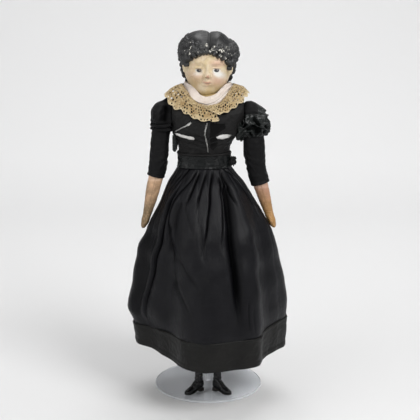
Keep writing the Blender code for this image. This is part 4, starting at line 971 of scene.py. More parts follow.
def makeHair():
    marks = {}

    def hairSpot(across, up):
        turn = (across - 0.5) * math.tau
        turn = turn - 0.3 * np.sin(turn)
        polar = (1 - up) * math.radians(150)
        d, p = skullSpot(turn, polar)
        line = through(head["hairline"], np.abs(np.degrees(turn)))[:, 0]
        cover = ease(-1.0, 3.4, p[:, 2] - line - 1.5)
        crown = ease(14, 30, p[:, 2])
        part = (3.2 * bump(p[:, 0], 0, 6.5) + 1.3 * bump(p[:, 0], 0, 1.3)) * ease(0, 18, p[:, 2])
        comb = np.cos(math.tau * (p[:, 1] + 0.22 * np.abs(p[:, 0]) + 0.5 * ripples(p, 14, 3, 1)) / 3.1)
        comb = comb * ease(14, 26, p[:, 2]) * ease(1, 5, np.abs(p[:, 0]))
        comb = comb * ease(-0.2, 0.8, ripples(p, 17, 5, 1))
        swell = 0.9 * ripples(p, 26, 8, 1) * crown
        thick = head["hair"] + through(head["swell"], p[:, 2])[:, 0] * np.sin(turn) ** 2
        thick = thick - 2.8 * ease(6, 20, p[:, 0]) * bump(p[:, 2], 26, 7)  # flatter at the upper left
        cap = -1.6 + cover * (thick + 1.4 - 2.2 * (1 - crown) - part + swell + 0.3 * comb)
        cap = cap - 5 * ease(-1.5, -5, p[:, 2] - line)  # sinks away under the face
        height, ridge = cap, np.clip(comb, 0, 1) * 0.5
        for spot, reach, row, phase, way in curlPlaces():
            off = p - spot
            far = np.linalg.norm(off, axis=1) / reach
            near = far < 1.05
            if not near.any():
                continue
            out = spot / np.linalg.norm(spot)
            first = np.cross(out, (0, 0, 1.0))
            first /= np.linalg.norm(first)
            second = np.cross(out, first)
            angle = np.arctan2(off[near] @ second, off[near] @ first)
            rho = np.clip(far[near], 0, 1)
            dome = np.sqrt(1 - rho**2)
            coil = np.cos(way * angle + rho * math.tau * 1.15 + phase)
            aroundFace = math.atan2(spot[0], -spot[1])
            level = through(head["swell"], spot[2])[0] * math.sin(aroundFace) ** 2
            level += min(4.4 + 0.9 * row, 6.6)
            level -= 3.2 * ease(6, 20, spot[0]) * bump(spot[2], 26, 7)
            lump = -1.6 + ease(1.0, 0.8, rho) * (level + 1.6) + 0.55 * reach * dome + 0.55 * coil * dome
            better = lump > height[near]
            spots = np.flatnonzero(near)[better]
            height[spots] = lump[better]
            ridge[spots] = (dome * (0.55 + 0.45 * coil))[better]
        marks["ridge"] = ridge
        edge = p[:, 2] - line
        wear = ease(16, 4, edge) * ease(6, -12, p[:, 1]) * ease(27, 18, np.abs(p[:, 0]))
        wear = wear * (0.45 + 0.55 * ease(-8, 4, p[:, 0]))  # most at the doll's left
        wear = wear + 0.45 * bump(edge, 13, 7) * ease(0, -14, p[:, 1])
        marks["worn"] = np.clip(wear * (0.85 + 0.35 * ripples(p, 11, 31, 1)), 0, 1)
        return toWorld(p + d * height[:, None])

    hair = gridPiece("mouldedHair", 420, 230, hairSpot, hairFinish)
    for name, values in marks.items():
        paintPoints(hair, name, values)
    weld(hair)
    addModifier(hair, "SMOOTH", factor=0.5, iterations=1)
    applyAll(hair)
    smoothShade(hair)
    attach(hair, "doll_body")
    print("hair:", len(hair.data.polygons), "faces")


makeHead()
makeHair()


# Skirt, hem band and petticoat
skirt = {
    "top": 0.3260,
    "length": 216,
    "band": 39,
    "waist": 0.3263,
    "full": (106, 101, 103),  # half width, front and back
    "fold": 4,
    "blouse": 7,
    "bagRun": ((0, 0), (0.39, 0), (0.5, 0.75), (0.6, 0.7), (0.75, 0.75), (0.9, 1), (1, 0), (2, 0)),
    "spread": (
        # share of the way down, share of the full round
        (0, 0), (0.035, 0.09), (0.08, 0.215), (0.18, 0.40),
        (0.33, 0.68), (0.575, 0.915), (0.77, 1.0), (1.0, 0.97),
    ),
    "plan": (
        # degrees round from the doll's left, share of the full round reached low down
        (-180, 0.98), (-170, 0.93), (-159, 0.79), (-144, 0.74), (-127, 0.76), (-110, 0.88),
        (-92, 1.0), (-71, 0.94), (-51, 0.97), (-34, 0.87), (-12, 0.91), (3, 1.03),
        (40, 0.95), (75, 1.0), (110, 0.95), (145, 1.0), (180, 0.98),
    ),
    "seamRise": ((-180, 0), (-45, 0), (-12, 4), (10, 6), (90, 2), (180, 0)),
    "hemRise": (
        (-180, 12), (-165, 10), (-135, 3.5), (-105, 0), (-40, 0),
        (-12, 2), (30, 3), (120, 2), (160, 9), (180, 12),
    ),
    "lap": {"height": 6.5, "half": 1.1, "reach": 26},  # the side panel's edge laps the front one
    "lapRun": (
        # drop in mm, degrees round
        (0, -126), (26, -134), (43, -140), (59, -141), (78, -140), (99, -141),
        (126, -146.5), (147, -150.5), (169, -156), (181, -157), (216, -159),
    ),
    "creases": (
        # depth and half width in mm, how much painted shade, then (drop in mm, degrees round) along its run
        (8.5, 6.0, 1.0, (
            (24, -60.5), (49, -64), (63, -66), (82, -68), (97, -68),
            (122, -67), (147, -66), (178, -65), (206, -64.5),
        )),
        (3.8, 1.7, 1.0, ((4, -54.5), (15, -59), (33, -62), (52, -64))),
        (2.4, 1.2, 0.9, ((10, -64), (32, -69), (48, -71.5), (68, -75), (81, -76.5), (98, -78))),
        (3.2, 1.8, 1.0, ((6, -57), (20, -54.5), (33, -54), (46, -51))),
        (2.8, 1.2, 1.0, ((4, -74), (21, -83), (41, -86.5), (57, -89.5), (73, -91), (104, -95))),
        (2.6, 1.2, 0.9, ((4, -86), (18, -94), (32, -99), (48, -103))),
        (3.2, 1.6, 1.0, ((4, -100), (17, -106), (31, -111), (44, -116))),
        (3.2, 1.5, 0.9, ((3, -106.5), (17, -117), (33, -130.5), (50, -137), (72, -134.5), (96, -132))),
        (2.2, 5.0, 0.45, ((40, -123.5), (52, -128), (65, -127.5), (80, -126))),
        (3.0, 1.5, 1.0, ((0, -123), (15, -136), (32, -143), (50, -146))),
        (2.6, 1.5, 0.9, ((8, -140), (31, -153), (44, -157))),
        (3.4, 1.6, 1.0, ((2, -42.5), (9, -30), (24, -26), (39, -20.5), (66, -19))),
        (3.0, 1.6, 1.0, ((2, -8), (19, -10), (48, -15))),
        (2.6, 1.3, 0.9, ((2, -25), (14, -18), (34, -14), (50, -12))),
        (1.4, 2.6, 0.3, ((44, -117), (62, -109), (78, -103))),
        (3.0, 3.4, 0.55, ((70, -133), (86, -130.5), (96, -128), (114, -123))),
        (2.2, 4.2, 0.35, ((108, -117), (126, -107), (134, -103.5), (150, -96))),
        (2.2, 4.6, 0.35, ((138, -124), (159, -111.5), (182, -103))),
        (1.0, 1.3, 0.5, ((165, -58), (188, -58), (206, -57.5))),
        (0.8, 1.2, 0.4, ((172, -54), (190, -54), (208, -53.5))),
        (1.4, 2.4, 0.3, ((66, -98), (88, -95), (112, -93))),
    ),
}
waistShare = (skirt["waist"] - body["waist"]) / (body["waist"] - body["seat"])
waistSizes = through(body["stations"], waistShare) + 4.1


def skirtSpot(turn, drop, out=0.0):  # drop and out in mm; the plain hang of the skirt
    turn, drop = np.broadcast_arrays(np.asarray(turn, float), np.asarray(drop, float))
    length = skirt["length"]
    z = skirt["top"] - drop * mm
    share = through(skirt["spread"], drop / (length + skirt["band"]))
    sizes = waistSizes + (np.array(skirt["full"]) - waistSizes) * share
    low = ease(length * 0.12, length * 0.8, drop)
    c, s = np.cos(turn), np.sin(turn)
    reach = 1 + (through(skirt["plan"], np.degrees(np.arctan2(s, c)))[..., 0] - 1) * low
    lean = leanAt(z) * (1 - ease(0, length * 0.4, drop))
    waves = 0.6 * np.cos(7 * turn + 0.7) + 0.4 * np.cos(11 * turn + 2.2)
    folds = skirt["fold"] * ease(0, length * 0.45, drop) * waves
    folds = folds * (1 - 0.6 * ease(length * 0.5, length, drop))
    bag = through(skirt["bagRun"], drop / length)[..., 0]
    out = folds + skirt["blouse"] * bag * ease(-0.6, -0.95, c) + out
    x = sizes[..., 0] * reach + out
    y = np.where(s > 0, sizes[..., 2], sizes[..., 1]) * reach + out
    degrees = np.degrees(np.arctan2(s, c))
    above, below = ease(length * 0.5, length, drop), ease(length, length + skirt["band"], drop)
    seam, hem = through(skirt["seamRise"], degrees)[..., 0], through(skirt["hemRise"], degrees)[..., 0]
    rise = seam * above * (1 - below) + hem * below
    return np.stack([x * c * mm + lean, y * s * mm, z + rise * mm], -1)


def skirtFolds(turn, drop):  # relief of the hanging silk in mm, and the painted shade of each place: in the folds, the lap's crevice and the side panel
    turn = np.arctan2(np.sin(turn), np.cos(turn))
    plain = skirtSpot(turn, drop)
    radius = np.hypot(plain[..., 0], plain[..., 1]) / mm
    wander = turn + 0.05 * np.sin(3 * turn + 0.4) + 0.03 * np.sin(7 * turn)
    pinch = 0.25 + 0.75 * ease(0, 14, drop)
    even = 1 - 0.65 * ease(-0.1, -0.5, np.sin(turn))  # the front has the folds of its own listed above
    gathers = (1 - np.abs(np.sin(13 * wander))) ** 2.2 * np.exp(-drop / 55) * pinch * even
    # the valleys of the gathers get painted shade
    total, deep = -3.2 * gathers, 0.7 * gathers
    for depth, half, dark, run in skirt["creases"]:
        first, last = run[0][0], run[-1][0]
        aside = (turn - np.radians(through(run, drop)[..., 0])) * radius
        along = ease(first - 5, first + 5, drop) * ease(last + 6, last - 0.35 * (last - first), drop)
        valley = along * bump(aside, 0, half)
        total = total - depth * valley
        deep = np.maximum(deep, dark * valley)
    total = np.maximum(total, -1.5 - 6.9 * ease(4, 34, drop))
    lap, share = skirt["lap"], drop / skirt["length"]
    aside = (turn - np.radians(through(skirt["lapRun"], drop)[..., 0])) * radius
    along = ease(0.04, 0.2, share) * ease(0.97, 0.8, share)
    front = np.exp(-np.maximum(aside, 0) / lap["reach"]) * (0.5 + 0.5 * ease(0, 12, aside))
    front = front * ease(-0.4, 0.6, aside)
    rim = ease(-11, -2.5, aside) * ease(0.4, -0.6, aside)
    crevice = bump(aside, 0.8, lap["half"])
    total = total + lap["height"] * along * (front + rim - 0.75 * crevice)
    # painted shade over the side panel, to the left of the lap
    side = 0.4 * ease(-2, -7, aside) * ease(-75, -45, aside)
    side = side * ease(0.0, 0.12, share) * ease(1.0, 0.9, share)
    # and painted shade down in the lap's crevice
    return total, np.maximum(np.maximum(deep, side), along * crevice)


def clothArea(piece):  # one face of a thin sheet, in square metres
    return sum(polygon.area for polygon in piece.data.polygons) / 2


def declareSheet(piece, flat):
    area = clothArea(piece)
    share = area / (flat[0] * flat[1])
    print(piece.name, "cloth area", round(area, 5), "share of its flat cut", round(share, 3))


def makeSkirt():
    length, band = skirt["length"], skirt["band"]

    def clothOf(across, up):  # the mesh is finer in front
        turn = np.radians(np.interp(across, (0, 0.66, 1), (-172, -8, 188)))
        return turn, (1 - up) ** 1.25 * (length + 3.3) - 2.5

    def silkSpot(across, up):
        turn, drop = clothOf(across, up)
        plain = skirtSpot(turn, drop)
        tucked = -1.1 * ease(length - 5, length + 0.5, drop)  # turns in at the seam of the hem band
        tucked -= 2.0 * ease(0.4, -1.4, drop)  # and under the waistband
        relief = skirtFolds(turn, drop)[0] + tucked
        relief += 0.7 * ripples(plain, 0.034, 12, 1) * ease(20, 80, drop)
        relief += 0.25 * creases(plain, 0.020, 14) * ease(10, 60, drop)
        return skirtSpot(turn, drop, relief)

    # the painted shade of the folds, as a mark on the points
    def silkFoldShade(across, up):
        return skirtFolds(*clothOf(across, up))[1]

    silk = gridPiece(
        "skirtSilk", 480, 100, silkSpot, silkFinish, (0.64, 0.211), closed=True, marks={"deep": silkFoldShade}
    )
    thicken(silk, 0.0004)
    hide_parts("skirt")
    declareSheet(silk, (0.66, 0.225))

    def bandSpot(across, up):
        turn, drop = (across - 0.25) * math.tau, length - 1.2 + (1 - up) * (band + 1.2)
        plain = skirtSpot(turn, drop)
        piping = 0.55 * bump(drop, length + 1.2, 1.3)  # the seam's raised edge
        hem = 0.7 * ease(length + band - 7, length + band - 5.5, drop)  # turned-up hem
        wave = 0.6 * ripples(plain, 0.03, 16, 1) + 0.5 * creases(plain, 0.017, 18)
        groove = -0.5 * ease(length + 0.3, length - 1.0, drop)
        carried = 0.35 * skirtFolds(turn, np.full_like(drop, length - 8))[0]
        carried = carried * ease(length + band * 0.6, length, drop)
        return skirtSpot(turn, drop, piping + hem + wave + groove + carried)

    hemCloth = gridPiece("hemBand", 440, 34, bandSpot, bandFinish, (0.64, 0.043), closed=True)
    thicken(hemCloth, 0.0006)
    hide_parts("hem_band")
    declareSheet(hemCloth, (0.66, 0.046))

    def cottonSpot(across, up):
        turn = (across - 0.25) * math.tau
        drop = 4 + (1 - up) * 228
        near = ease(34, 4, drop)
        out = -9.4 * (1 - near) + near * -3.2
        gathers = np.cos(30 * turn + 1.3 * np.sin(4 * turn)) * (0.5 + 1.0 * ease(0, 60, drop))
        tucks = 0.35 * np.cos((drop - 196) * 1.4) * ease(186, 190, drop) * ease(214, 210, drop)
        hem = 0.4 * ease(222, 223, drop) + tucks
        return skirtSpot(turn, drop, out + 0.7 * gathers + hem)

    cotton = gridPiece("cottonPetticoat", 300, 70, cottonSpot, cottonFinish, (0.55, 0.24), closed=True)
    thicken(cotton, 0.0005)
    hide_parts("petticoat")
    declareSheet(cotton, (0.58, 0.24))
    for piece, slot in ((silk, "black_silk"), (hemCloth, "black_silk"), (cotton, "white_cotton")):
        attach(piece, "doll_body")
    print("skirt, hem band and petticoat made")


# Bodice over its chemise, with the tears of old silk
bodice = {
    "off": 2.5,
    "low": 0.3293,
    "high": 0.4205,
    "chemise": (0.3270, 0.4222),
    "slit": (
        (-1.0, 389), (-2.0, 384), (-3.6, 378), (-3.8, 373),
        (-2.4, 366), (-1.0, 359), (-0.2, 353), (0.2, 348.4),
    ),
    "slitWidth": 1.5,
    "velvet": (
        (2.6, 388.5), (22.1, 388), (23.2, 381.5), (17.3, 378), (9.5, 372.2),
        (13, 366), (11.8, 357), (6.5, 351), (2.4, 356),
    ),
    "tears": (
        # across and up in mm: upper edge from left to right, then the lower edge back
        (
            (-47, 373.8), (-40, 373.6), (-33, 372.6), (-25, 371.2), (-19, 370), (-17, 368),
            (-19, 365.6), (-26, 366.6), (-33, 368), (-40, 370), (-47, 371.4),
        ),
        ((10.5, 370), (16, 373), (24, 373.4), (32, 371.6), (27, 367.7), (19, 366.4), (13, 367.4)),
        (
            (-44, 376), (-36, 381), (-28, 386), (-22.5, 390.5), (-21, 388.5),
            (-24.5, 385.5), (-30, 383), (-36, 379.6), (-44, 374.8),
        ),
    ),
}


def tearSlab(name, outline):  # a flat outline pushed through the front of the bodice
    deselectAll()
    bpy.ops.mesh.primitive_circle_add(vertices=len(outline), fill_type="NGON", radius=1)
    slab = named(name, cottonFinish)
    movePoints(slab, [(x * mm, -0.075, z * mm) for x, z in outline])
    editMesh(
        slab,
        (bpy.ops.mesh.extrude_region_move, {"TRANSFORM_OT_translate": {"value": (0, 0.066, 0)}}),
        (bpy.ops.mesh.select_all, {"action": "SELECT"}),
        (bpy.ops.mesh.normals_make_consistent, {"inside": False}),
    )
    return slab


def raggedEdge(outline, seed, step=1.1, jag=0.28):  # frays a tear's outline
    dice = np.random.default_rng(seed)
    points = np.array(outline + outline[:1], float)
    found = []
    for a, b in zip(points, points[1:]):
        count = max(2, int(np.hypot(*(b - a)) / step))
        for k in range(count):
            found.append(tuple(a + (b - a) * k / count + dice.uniform(-jag, jag, 2)))
    return found


def makeBodice():
    low, high = bodice["low"], bodice["high"]
    bottom, top = bodice["chemise"]

    def chemiseSpot(across, up):
        turn = (across - 0.25) * math.tau
        z = bottom + up * (top - 0.0085 * ease(0.1, 0.8, -np.sin(turn)) - bottom)  # low under the chin
        plain = bodyRaw(turn, z)
        pushed = 0.35 * bump(z, 0.3705, 0.004) * ease(0, -0.02, plain[:, 1])  # out through the tears
        off = 0.9 + 0.25 * ripples(plain, 0.012, 5) + pushed
        return bodySpot(turn, z, off * mm)

    chemise = gridPiece("whiteChemise", 200, 80, chemiseSpot, cottonFinish, (0.25, 0.095), closed=True)
    thicken(chemise, 0.0004)
    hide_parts("chemise")
    declareSheet(chemise, (0.27, 0.11))

    def silkSpot(across, up):
        turn = (across - 0.25) * math.tau
        z = low + up * (high - 0.008 * ease(0.1, 0.8, -np.sin(turn)) - low)
        plain = bodyRaw(turn, z)
        x, front = plain[:, 0], ease(0, -0.012, plain[:, 1])
        wrinkle = 0.42 * ripples(plain, 0.016, 41) + 0.5 * (creases(plain * (1, 1, 2.2), 0.021, 43) - 0.3)
        pulled = 0.5 * np.cos((z * 1000 - 0.35 * np.abs(x) * 1000) * 0.9) * bump(z, 0.366, 0.012) * front
        drawn = 0.7 * np.cos(60 * turn + 2 * np.sin(5 * turn)) * ease(0.352, 0.340, z)  # in at the waist
        closing = 0.8 * bump(x * 1000, 1.4, 1.6) * front * ease(0.345, 0.352, z) * ease(0.392, 0.386, z)
        lap = 0.7 * bump(z, 0.3755, 0.0016) * ease(-0.012, -0.018, x) * front
        off = bodice["off"] + wrinkle * ease(0.332, 0.345, z) + pulled + drawn + closing + lap
        return bodySpot(turn, z, np.maximum(off, 1.7) * mm)

    silk = gridPiece("bodiceSilk", 260, 110, silkSpot, crepeFinish, (0.26, 0.1), closed=True)
    thicken(silk, 0.0005)
    slit = bodice["slit"]
    half = bodice["slitWidth"] / 2
    edge = [(x - half, z) for x, z in slit] + [(x + half, z) for x, z in reversed(slit)]
    slabs = [tearSlab("slit", raggedEdge(edge, 2, 1.5, 0.18))]
    for k, outline in enumerate(bodice["tears"]):
        slabs.append(tearSlab("tear%d" % k, raggedEdge(list(outline), 7 + k)))
    for slab in slabs:
        addModifier(silk, "BOOLEAN", object=slab, operation="DIFFERENCE", solver="EXACT")
    applyAll(silk)
    for slab in slabs:
        bpy.data.objects.remove(slab)
    silk.data.materials.append(velvetFinish)
    patch = np.array(bodice["velvet"])
    ends = np.roll(patch, -1, 0)
    for polygon in silk.data.polygons:  # faces of the front inside the patch's outline
        x, y, z = polygon.center / mm
        cross = (patch[:, 1] > z) != (ends[:, 1] > z)
        run = (ends[:, 0] - patch[:, 0]) * (z - patch[:, 1]) / (ends[:, 1] - patch[:, 1]) + patch[:, 0]
        if y < 0 and (cross & (x < run)).sum() % 2:
            polygon.material_index = 1
    smoothShade(silk, 50)
    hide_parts("bodice")
    declareSheet(silk, (0.275, 0.115))
    for piece in (chemise, silk):
        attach(piece, "doll_body")
    print("bodice and chemise made")


# Waistband with its pleats, the roll above it and three bunches of loose silk
waist = {
    "low": 0.3263,
    "high": 0.3433,
    "pleats": 17,
    "off": 3.1,
    "cord": 0.3452,
    "cordOff": 3.4,
    "cordHalf": 1.5,
    "bunches": (
        # name, finish, middle and half sizes in mm, seed
        ("waistBunch", crepeFinish, (32.5, -9, 335), (4.8, 3.6, 5.2), 61),
        ("leftArmholeBunch", satinFinish, (43, -8, 378), (9.5, 11, 13), 65),
        ("rightArmholeBunch", satinFinish, (-44, -10, 359.5), (4.5, 4, 10), 71),
    ),
}


def makeWaistband():
    def bandSpot(across, up):
        turn, z = (across - 0.25) * math.tau, waist["low"] + up * (waist["high"] - waist["low"])
        phase = waist["pleats"] * (turn + 0.04 * np.sin(4 * turn + 1)) / math.tau
        saw = phase - np.floor(phase)
        pleat = ease(0.0, 0.14, saw) * (1 - saw) ** 0.7  # each pleat laps over the next
        rolled = 0.5 * bump(up, 1.0, 0.1) + 0.4 * bump(up, 0.0, 0.08)
        soft = 0.25 * ripples(bodyRaw(turn, z), 0.012, 51)
        return bodySpot(turn, z, (waist["off"] + 1.3 * pleat + rolled + 2.0 * soft) * mm)

    band = gridPiece("pleatedWaistband", 420, 22, bandSpot, bandSatin, (0.19, 0.017), closed=True)
    thicken(band, 0.0006)
    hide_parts("waistband")
    declareSheet(band, (0.30, 0.018))

    def cordSpot(across, up):  # a rolled edge lying on the bodice
        turn, roll = (across - 0.25) * math.tau, up * math.tau
        half = waist["cordHalf"] + 0.25 * np.cos(70 * turn + 3 * roll)
        z = waist["cord"] + half * mm * np.sin(roll) * 1.25
        return bodySpot(turn, z, (waist["cordOff"] + half * np.cos(roll)) * mm)

    cord = gridPiece("waistRoll", 260, 12, cordSpot, crepeFinish, (0.19, 0.01), closed=True)
    faceOut(cord)

    for name, finish, middle, sizes, seed in waist["bunches"]:  # crumpled knots of loose silk
        deselectAll()
        bpy.ops.mesh.primitive_ico_sphere_add(subdivisions=5, radius=1)
        bunch = named(name, finish)
        ball = pointsOf(bunch)
        lump = 1 + 0.28 * ripples(ball, 1.1, seed) + 0.35 * (creases(ball, 0.9, seed + 2) - 0.4)
        points = (ball * lump[:, None] * np.array(sizes) + middle) * mm
        points[:, 0] = np.clip(points[:, 0], -body["armhole"], body["armhole"])  # the arms swing outside
        movePoints(bunch, points)
        smoothShade(bunch)
        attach(bunch, "doll_body")
    for piece in (band, cord):
        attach(piece, "doll_body")
    print("waistband made")


makeSkirt()
makeBodice()
makeWaistband()


# Arms: kid forearm with a mitten hand, fitted sleeve and gathered puff
arm = {
    "x": 0.0602,
    "shoulder": 0.3993,
    "armhole": 0.0473,
    "inner": 1.25,  # a puff is this much wider towards the body
    "satin": {"low": -1.5, "out": 0.0655, "high": 11},  # below the first, or outside and below the last
    "hang": {"left": 5, "right": 6},
    "bend": {"left": 11, "right": 7},  # lean added below the elbow
    "upper": 69,
    "wrist": 137,
    "hand": 24,
    "sleeve": {"left": (18, 97), "right": (18, 87)},
    "sleeveHalf": {
        "left": ((18, 13), (34, 15), (45, 15), (69, 13.6), (97, 12)),
        "right": ((18, 12.7), (34, 12.3), (69, 12.3), (87, 11.5)),
    },
    "puff": {
        # down the arm, half across, half deep, shift out, all in mm
        "left": (
            (32, 13.8, 14, -0.4), (26, 15.4, 16.2, 0.4), (18, 15.8, 18, 0.9), (10, 15.5, 18.7, 1.2),
            (0, 14.7, 17.5, 0.4), (-8, 10.0, 13.5, -2.2), (-12, 7.0, 9.5, -3.4), (-14.5, 3.5, 4.7, -4.4),
        ),
        "right": (
            (24, 13.2, 13.4, 0), (18, 14.2, 15.6, 0.4), (10, 15.2, 18.2, 1.1), (0, 15.1, 17.5, 0.8),
            (-8, 12.6, 13.5, -0.5), (-12, 9.4, 9.5, -1.8), (-15, 5.6, 5.4, -3.4), (-19.5, 1.8, 2.4, -5.4),
        ),
    },
}


def armLine(side):  # middle and outward direction at each millimetre down the arm
    hang = math.radians(arm["hang"][side])
    bent = hang + math.radians(arm["bend"][side])
    leans = (
        (-14.5, hang),
        (arm["upper"], hang),
        (arm["sleeve"][side][1], bent),
        (arm["wrist"], bent + math.radians(1)),
        (arm["wrist"] + arm["hand"], bent + math.radians(10)),
    )
    at = np.arange(-22, arm["wrist"] + arm["hand"] + 3, 1.0)
    lean = through(leans, at)[:, 0]
    steps = np.stack([np.sin(lean), -np.cos(lean)], 1)
    run = np.cumsum(steps, 0)
    run = run - run[at == 0]
    return at, arm["x"] + run[:, 0] * mm, arm["shoulder"] + run[:, 1] * mm, lean


def armSpot(side, at, turn, across, deep, shift=0.0, box=1.0, inner=1.0):
    # points of a ring square to the arm, in mm; inner widens the side towards the body
    line, x, z, lean = armLine(side)
    lean = np.interp(at, line, lean)
    c, s = np.cos(turn), np.sin(turn)
    out = shift + across * np.where(c < 0, inner, 1) * np.sign(c) * np.abs(c) ** np.where(c < 0, box, 1)
    px = np.interp(at, line, x) + np.cos(lean) * out * mm
    pz = np.interp(at, line, z) + np.sin(lean) * out * mm
    py = deep * np.sign(s) * np.abs(s) ** np.where(c < 0, box, 1) * mm
    px = np.maximum(px, arm["armhole"])
    return np.stack([sides[side] * px, py + 0 * px, pz + 0 * px], -1)


def keepClear(piece, side):  # nothing of the arm passes the plane of the armhole
    points = pointsOf(piece)
    points[:, 0] = sides[side] * np.maximum(sides[side] * points[:, 0], arm["armhole"])
    movePoints(piece, points)


def makeSleeves(side):
    first, last = arm["sleeve"][side]
    seed = 70 if side == "left" else 90

    def clothSpot(across, up):
        turn, at = across * math.tau, first + (1 - up) * (last - first)
        half = through(arm["sleeveHalf"][side], at)[:, 0]
        shift = 12.3 - half
        plain = armSpot(side, at, turn, half, half, shift)
        inner = ease(0.3, -0.6, np.cos(turn))
        elbow = 0.45 * np.cos((at + 5 * np.sin(turn * 2 + 1)) * 0.62) * bump(at, 66, 11)
        elbow = elbow * (0.3 + 0.7 * inner)
        wrinkle = 0.35 * ripples(plain, 0.018, seed)
        wrinkle += 0.5 * (creases(plain * (1, 1, 1.4), 0.024, seed + 3) - 0.35)
        hem = 0.5 * bump(at, last - 1, 1.1) - 0.35 * bump(at, last - 4.2, 0.7)
        seam = -0.45 * bump(np.cos(turn - 2.6), 1, 0.006)
        half = half + elbow + wrinkle + hem + seam
        return armSpot(side, at, turn, half, half, shift)

    cloth = gridPiece(side + "Sleeve", 130, 90, clothSpot, sleeveFinish, (0.076, 0.073), closed=True)
    faceOut(cloth)
    thicken(cloth, 0.0006)
    keepClear(cloth, side)
    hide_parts(side + "_sleeve")
    declareSheet(cloth, (0.100, 0.086))

    stations = arm["puff"][side]
    ruched, lowest, highest = side == "left", stations[0][0], stations[-1][0]

    def puffFolds(across, up):  # place on the arm, ring sizes, relief in mm, and the painted shade of the folds
        turn, at = across * math.tau, lowest - up * (lowest - highest)
        ahead = np.arctan2(np.sin(turn), np.cos(turn))
        sizes = through(tuple(reversed(stations)), at)
        plain = armSpot(side, at, turn, sizes[:, 0], sizes[:, 1], sizes[:, 2], 0.6)
        if ruched:  # crumpled satin under a smooth shoulder, climbing on the outside
            low = np.maximum(ease(-2, 8, at), 0.5 * ease(0.3, 0.7, np.cos(turn)) * ease(-12, -6, at))
            ridge = creases(plain, 0.019, 101)
            out = (4.4 * (ridge - 0.3) + 1.4 * ripples(plain, 0.012, 103)) * low
            out -= 1.2 * bump(at, 0.5, 1.8) * ease(0.5, 0.1, np.cos(turn))
            out += 1.2 * low * ease(lowest, lowest - 7, at)
            # painted shade in the hollows between the ridges
            deep = low * ease(0.32, 0.02, ridge)
        else:  # flat pleats with one deep fold, bunched where it meets the sleeve
            fold = bump(ahead, -1.75, 0.27) * ease(17, 8, at) * ease(-13, -7, at)
            bunch = np.cos(at * 1.1 + 1.6 * np.sin(2 * turn) + 0.8 * np.sin(5 * turn)) * ease(9, 14, at)
            out = -3.8 * fold + 1.3 * bump(ahead, -0.95, 0.4) * ease(16, 8, at) + bunch
            out += 0.9 * (creases(plain * (1, 1, 0.5), 0.02, 107) - 0.4)
            out -= 2.2 * bump(at, 9, 9) * ease(0.2, 0.8, np.cos(turn))
            # painted shade in the deep fold and the hollows of the bunching
            deep = np.maximum(0.9 * fold, 0.6 * ease(-0.3, -1.0, bunch))
        return turn, at, sizes, out * ease(highest, highest + 4, at), deep

    def puffSpot(across, up):
        turn, at, sizes, out, deep = puffFolds(across, up)
        return armSpot(side, at, turn, sizes[:, 0] + out, sizes[:, 1] + out, sizes[:, 2], 0.6, arm["inner"])

    # the painted shade of the folds, as a mark on the points
    def puffFoldShade(across, up):
        return puffFolds(across, up)[4]

    name, cut, marks = side + "SleevePuff", (0.1, 0.045), {"deep": puffFoldShade}
    puff = gridPiece(name, 200, 90, puffSpot, sleeveFinish, cut, closed=True, marks=marks)
    if ruched:
        puff.data.materials.append(satinFinish)
        satin = arm["satin"]
        for polygon in puff.data.polygons:
            height = (polygon.center.z - arm["shoulder"]) / mm
            outside = abs(polygon.center.x) > satin["out"] and height < satin["high"]
            polygon.material_index = 1 if height < satin["low"] or outside else 0
    pick(puff)
    for vertex in puff.data.vertices:
        vertex.select = False
    bpy.ops.object.mode_set(mode="EDIT")
    bpy.ops.mesh.select_non_manifold(extend=False)
    bpy.ops.object.mode_set(mode="OBJECT")
    for vertex in puff.data.vertices:
        vertex.select = vertex.select and vertex.co.z > arm["shoulder"]
    bpy.ops.object.mode_set(mode="EDIT")
    bpy.ops.mesh.select_mode(type="VERT")
    bpy.ops.mesh.edge_face_add()  # the gathered point of the shoulder closes
    bpy.ops.mesh.poke()
    bpy.ops.object.mode_set(mode="OBJECT")
    faceOut(puff)
    thicken(puff, 0.0006)
    keepClear(puff, side)
    smoothShade(puff)
    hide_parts(side + "_sleeve_puff")
    declareSheet(puff, (0.13, 0.062))
    for piece in (cloth, puff):
        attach(piece, side + "_arm")


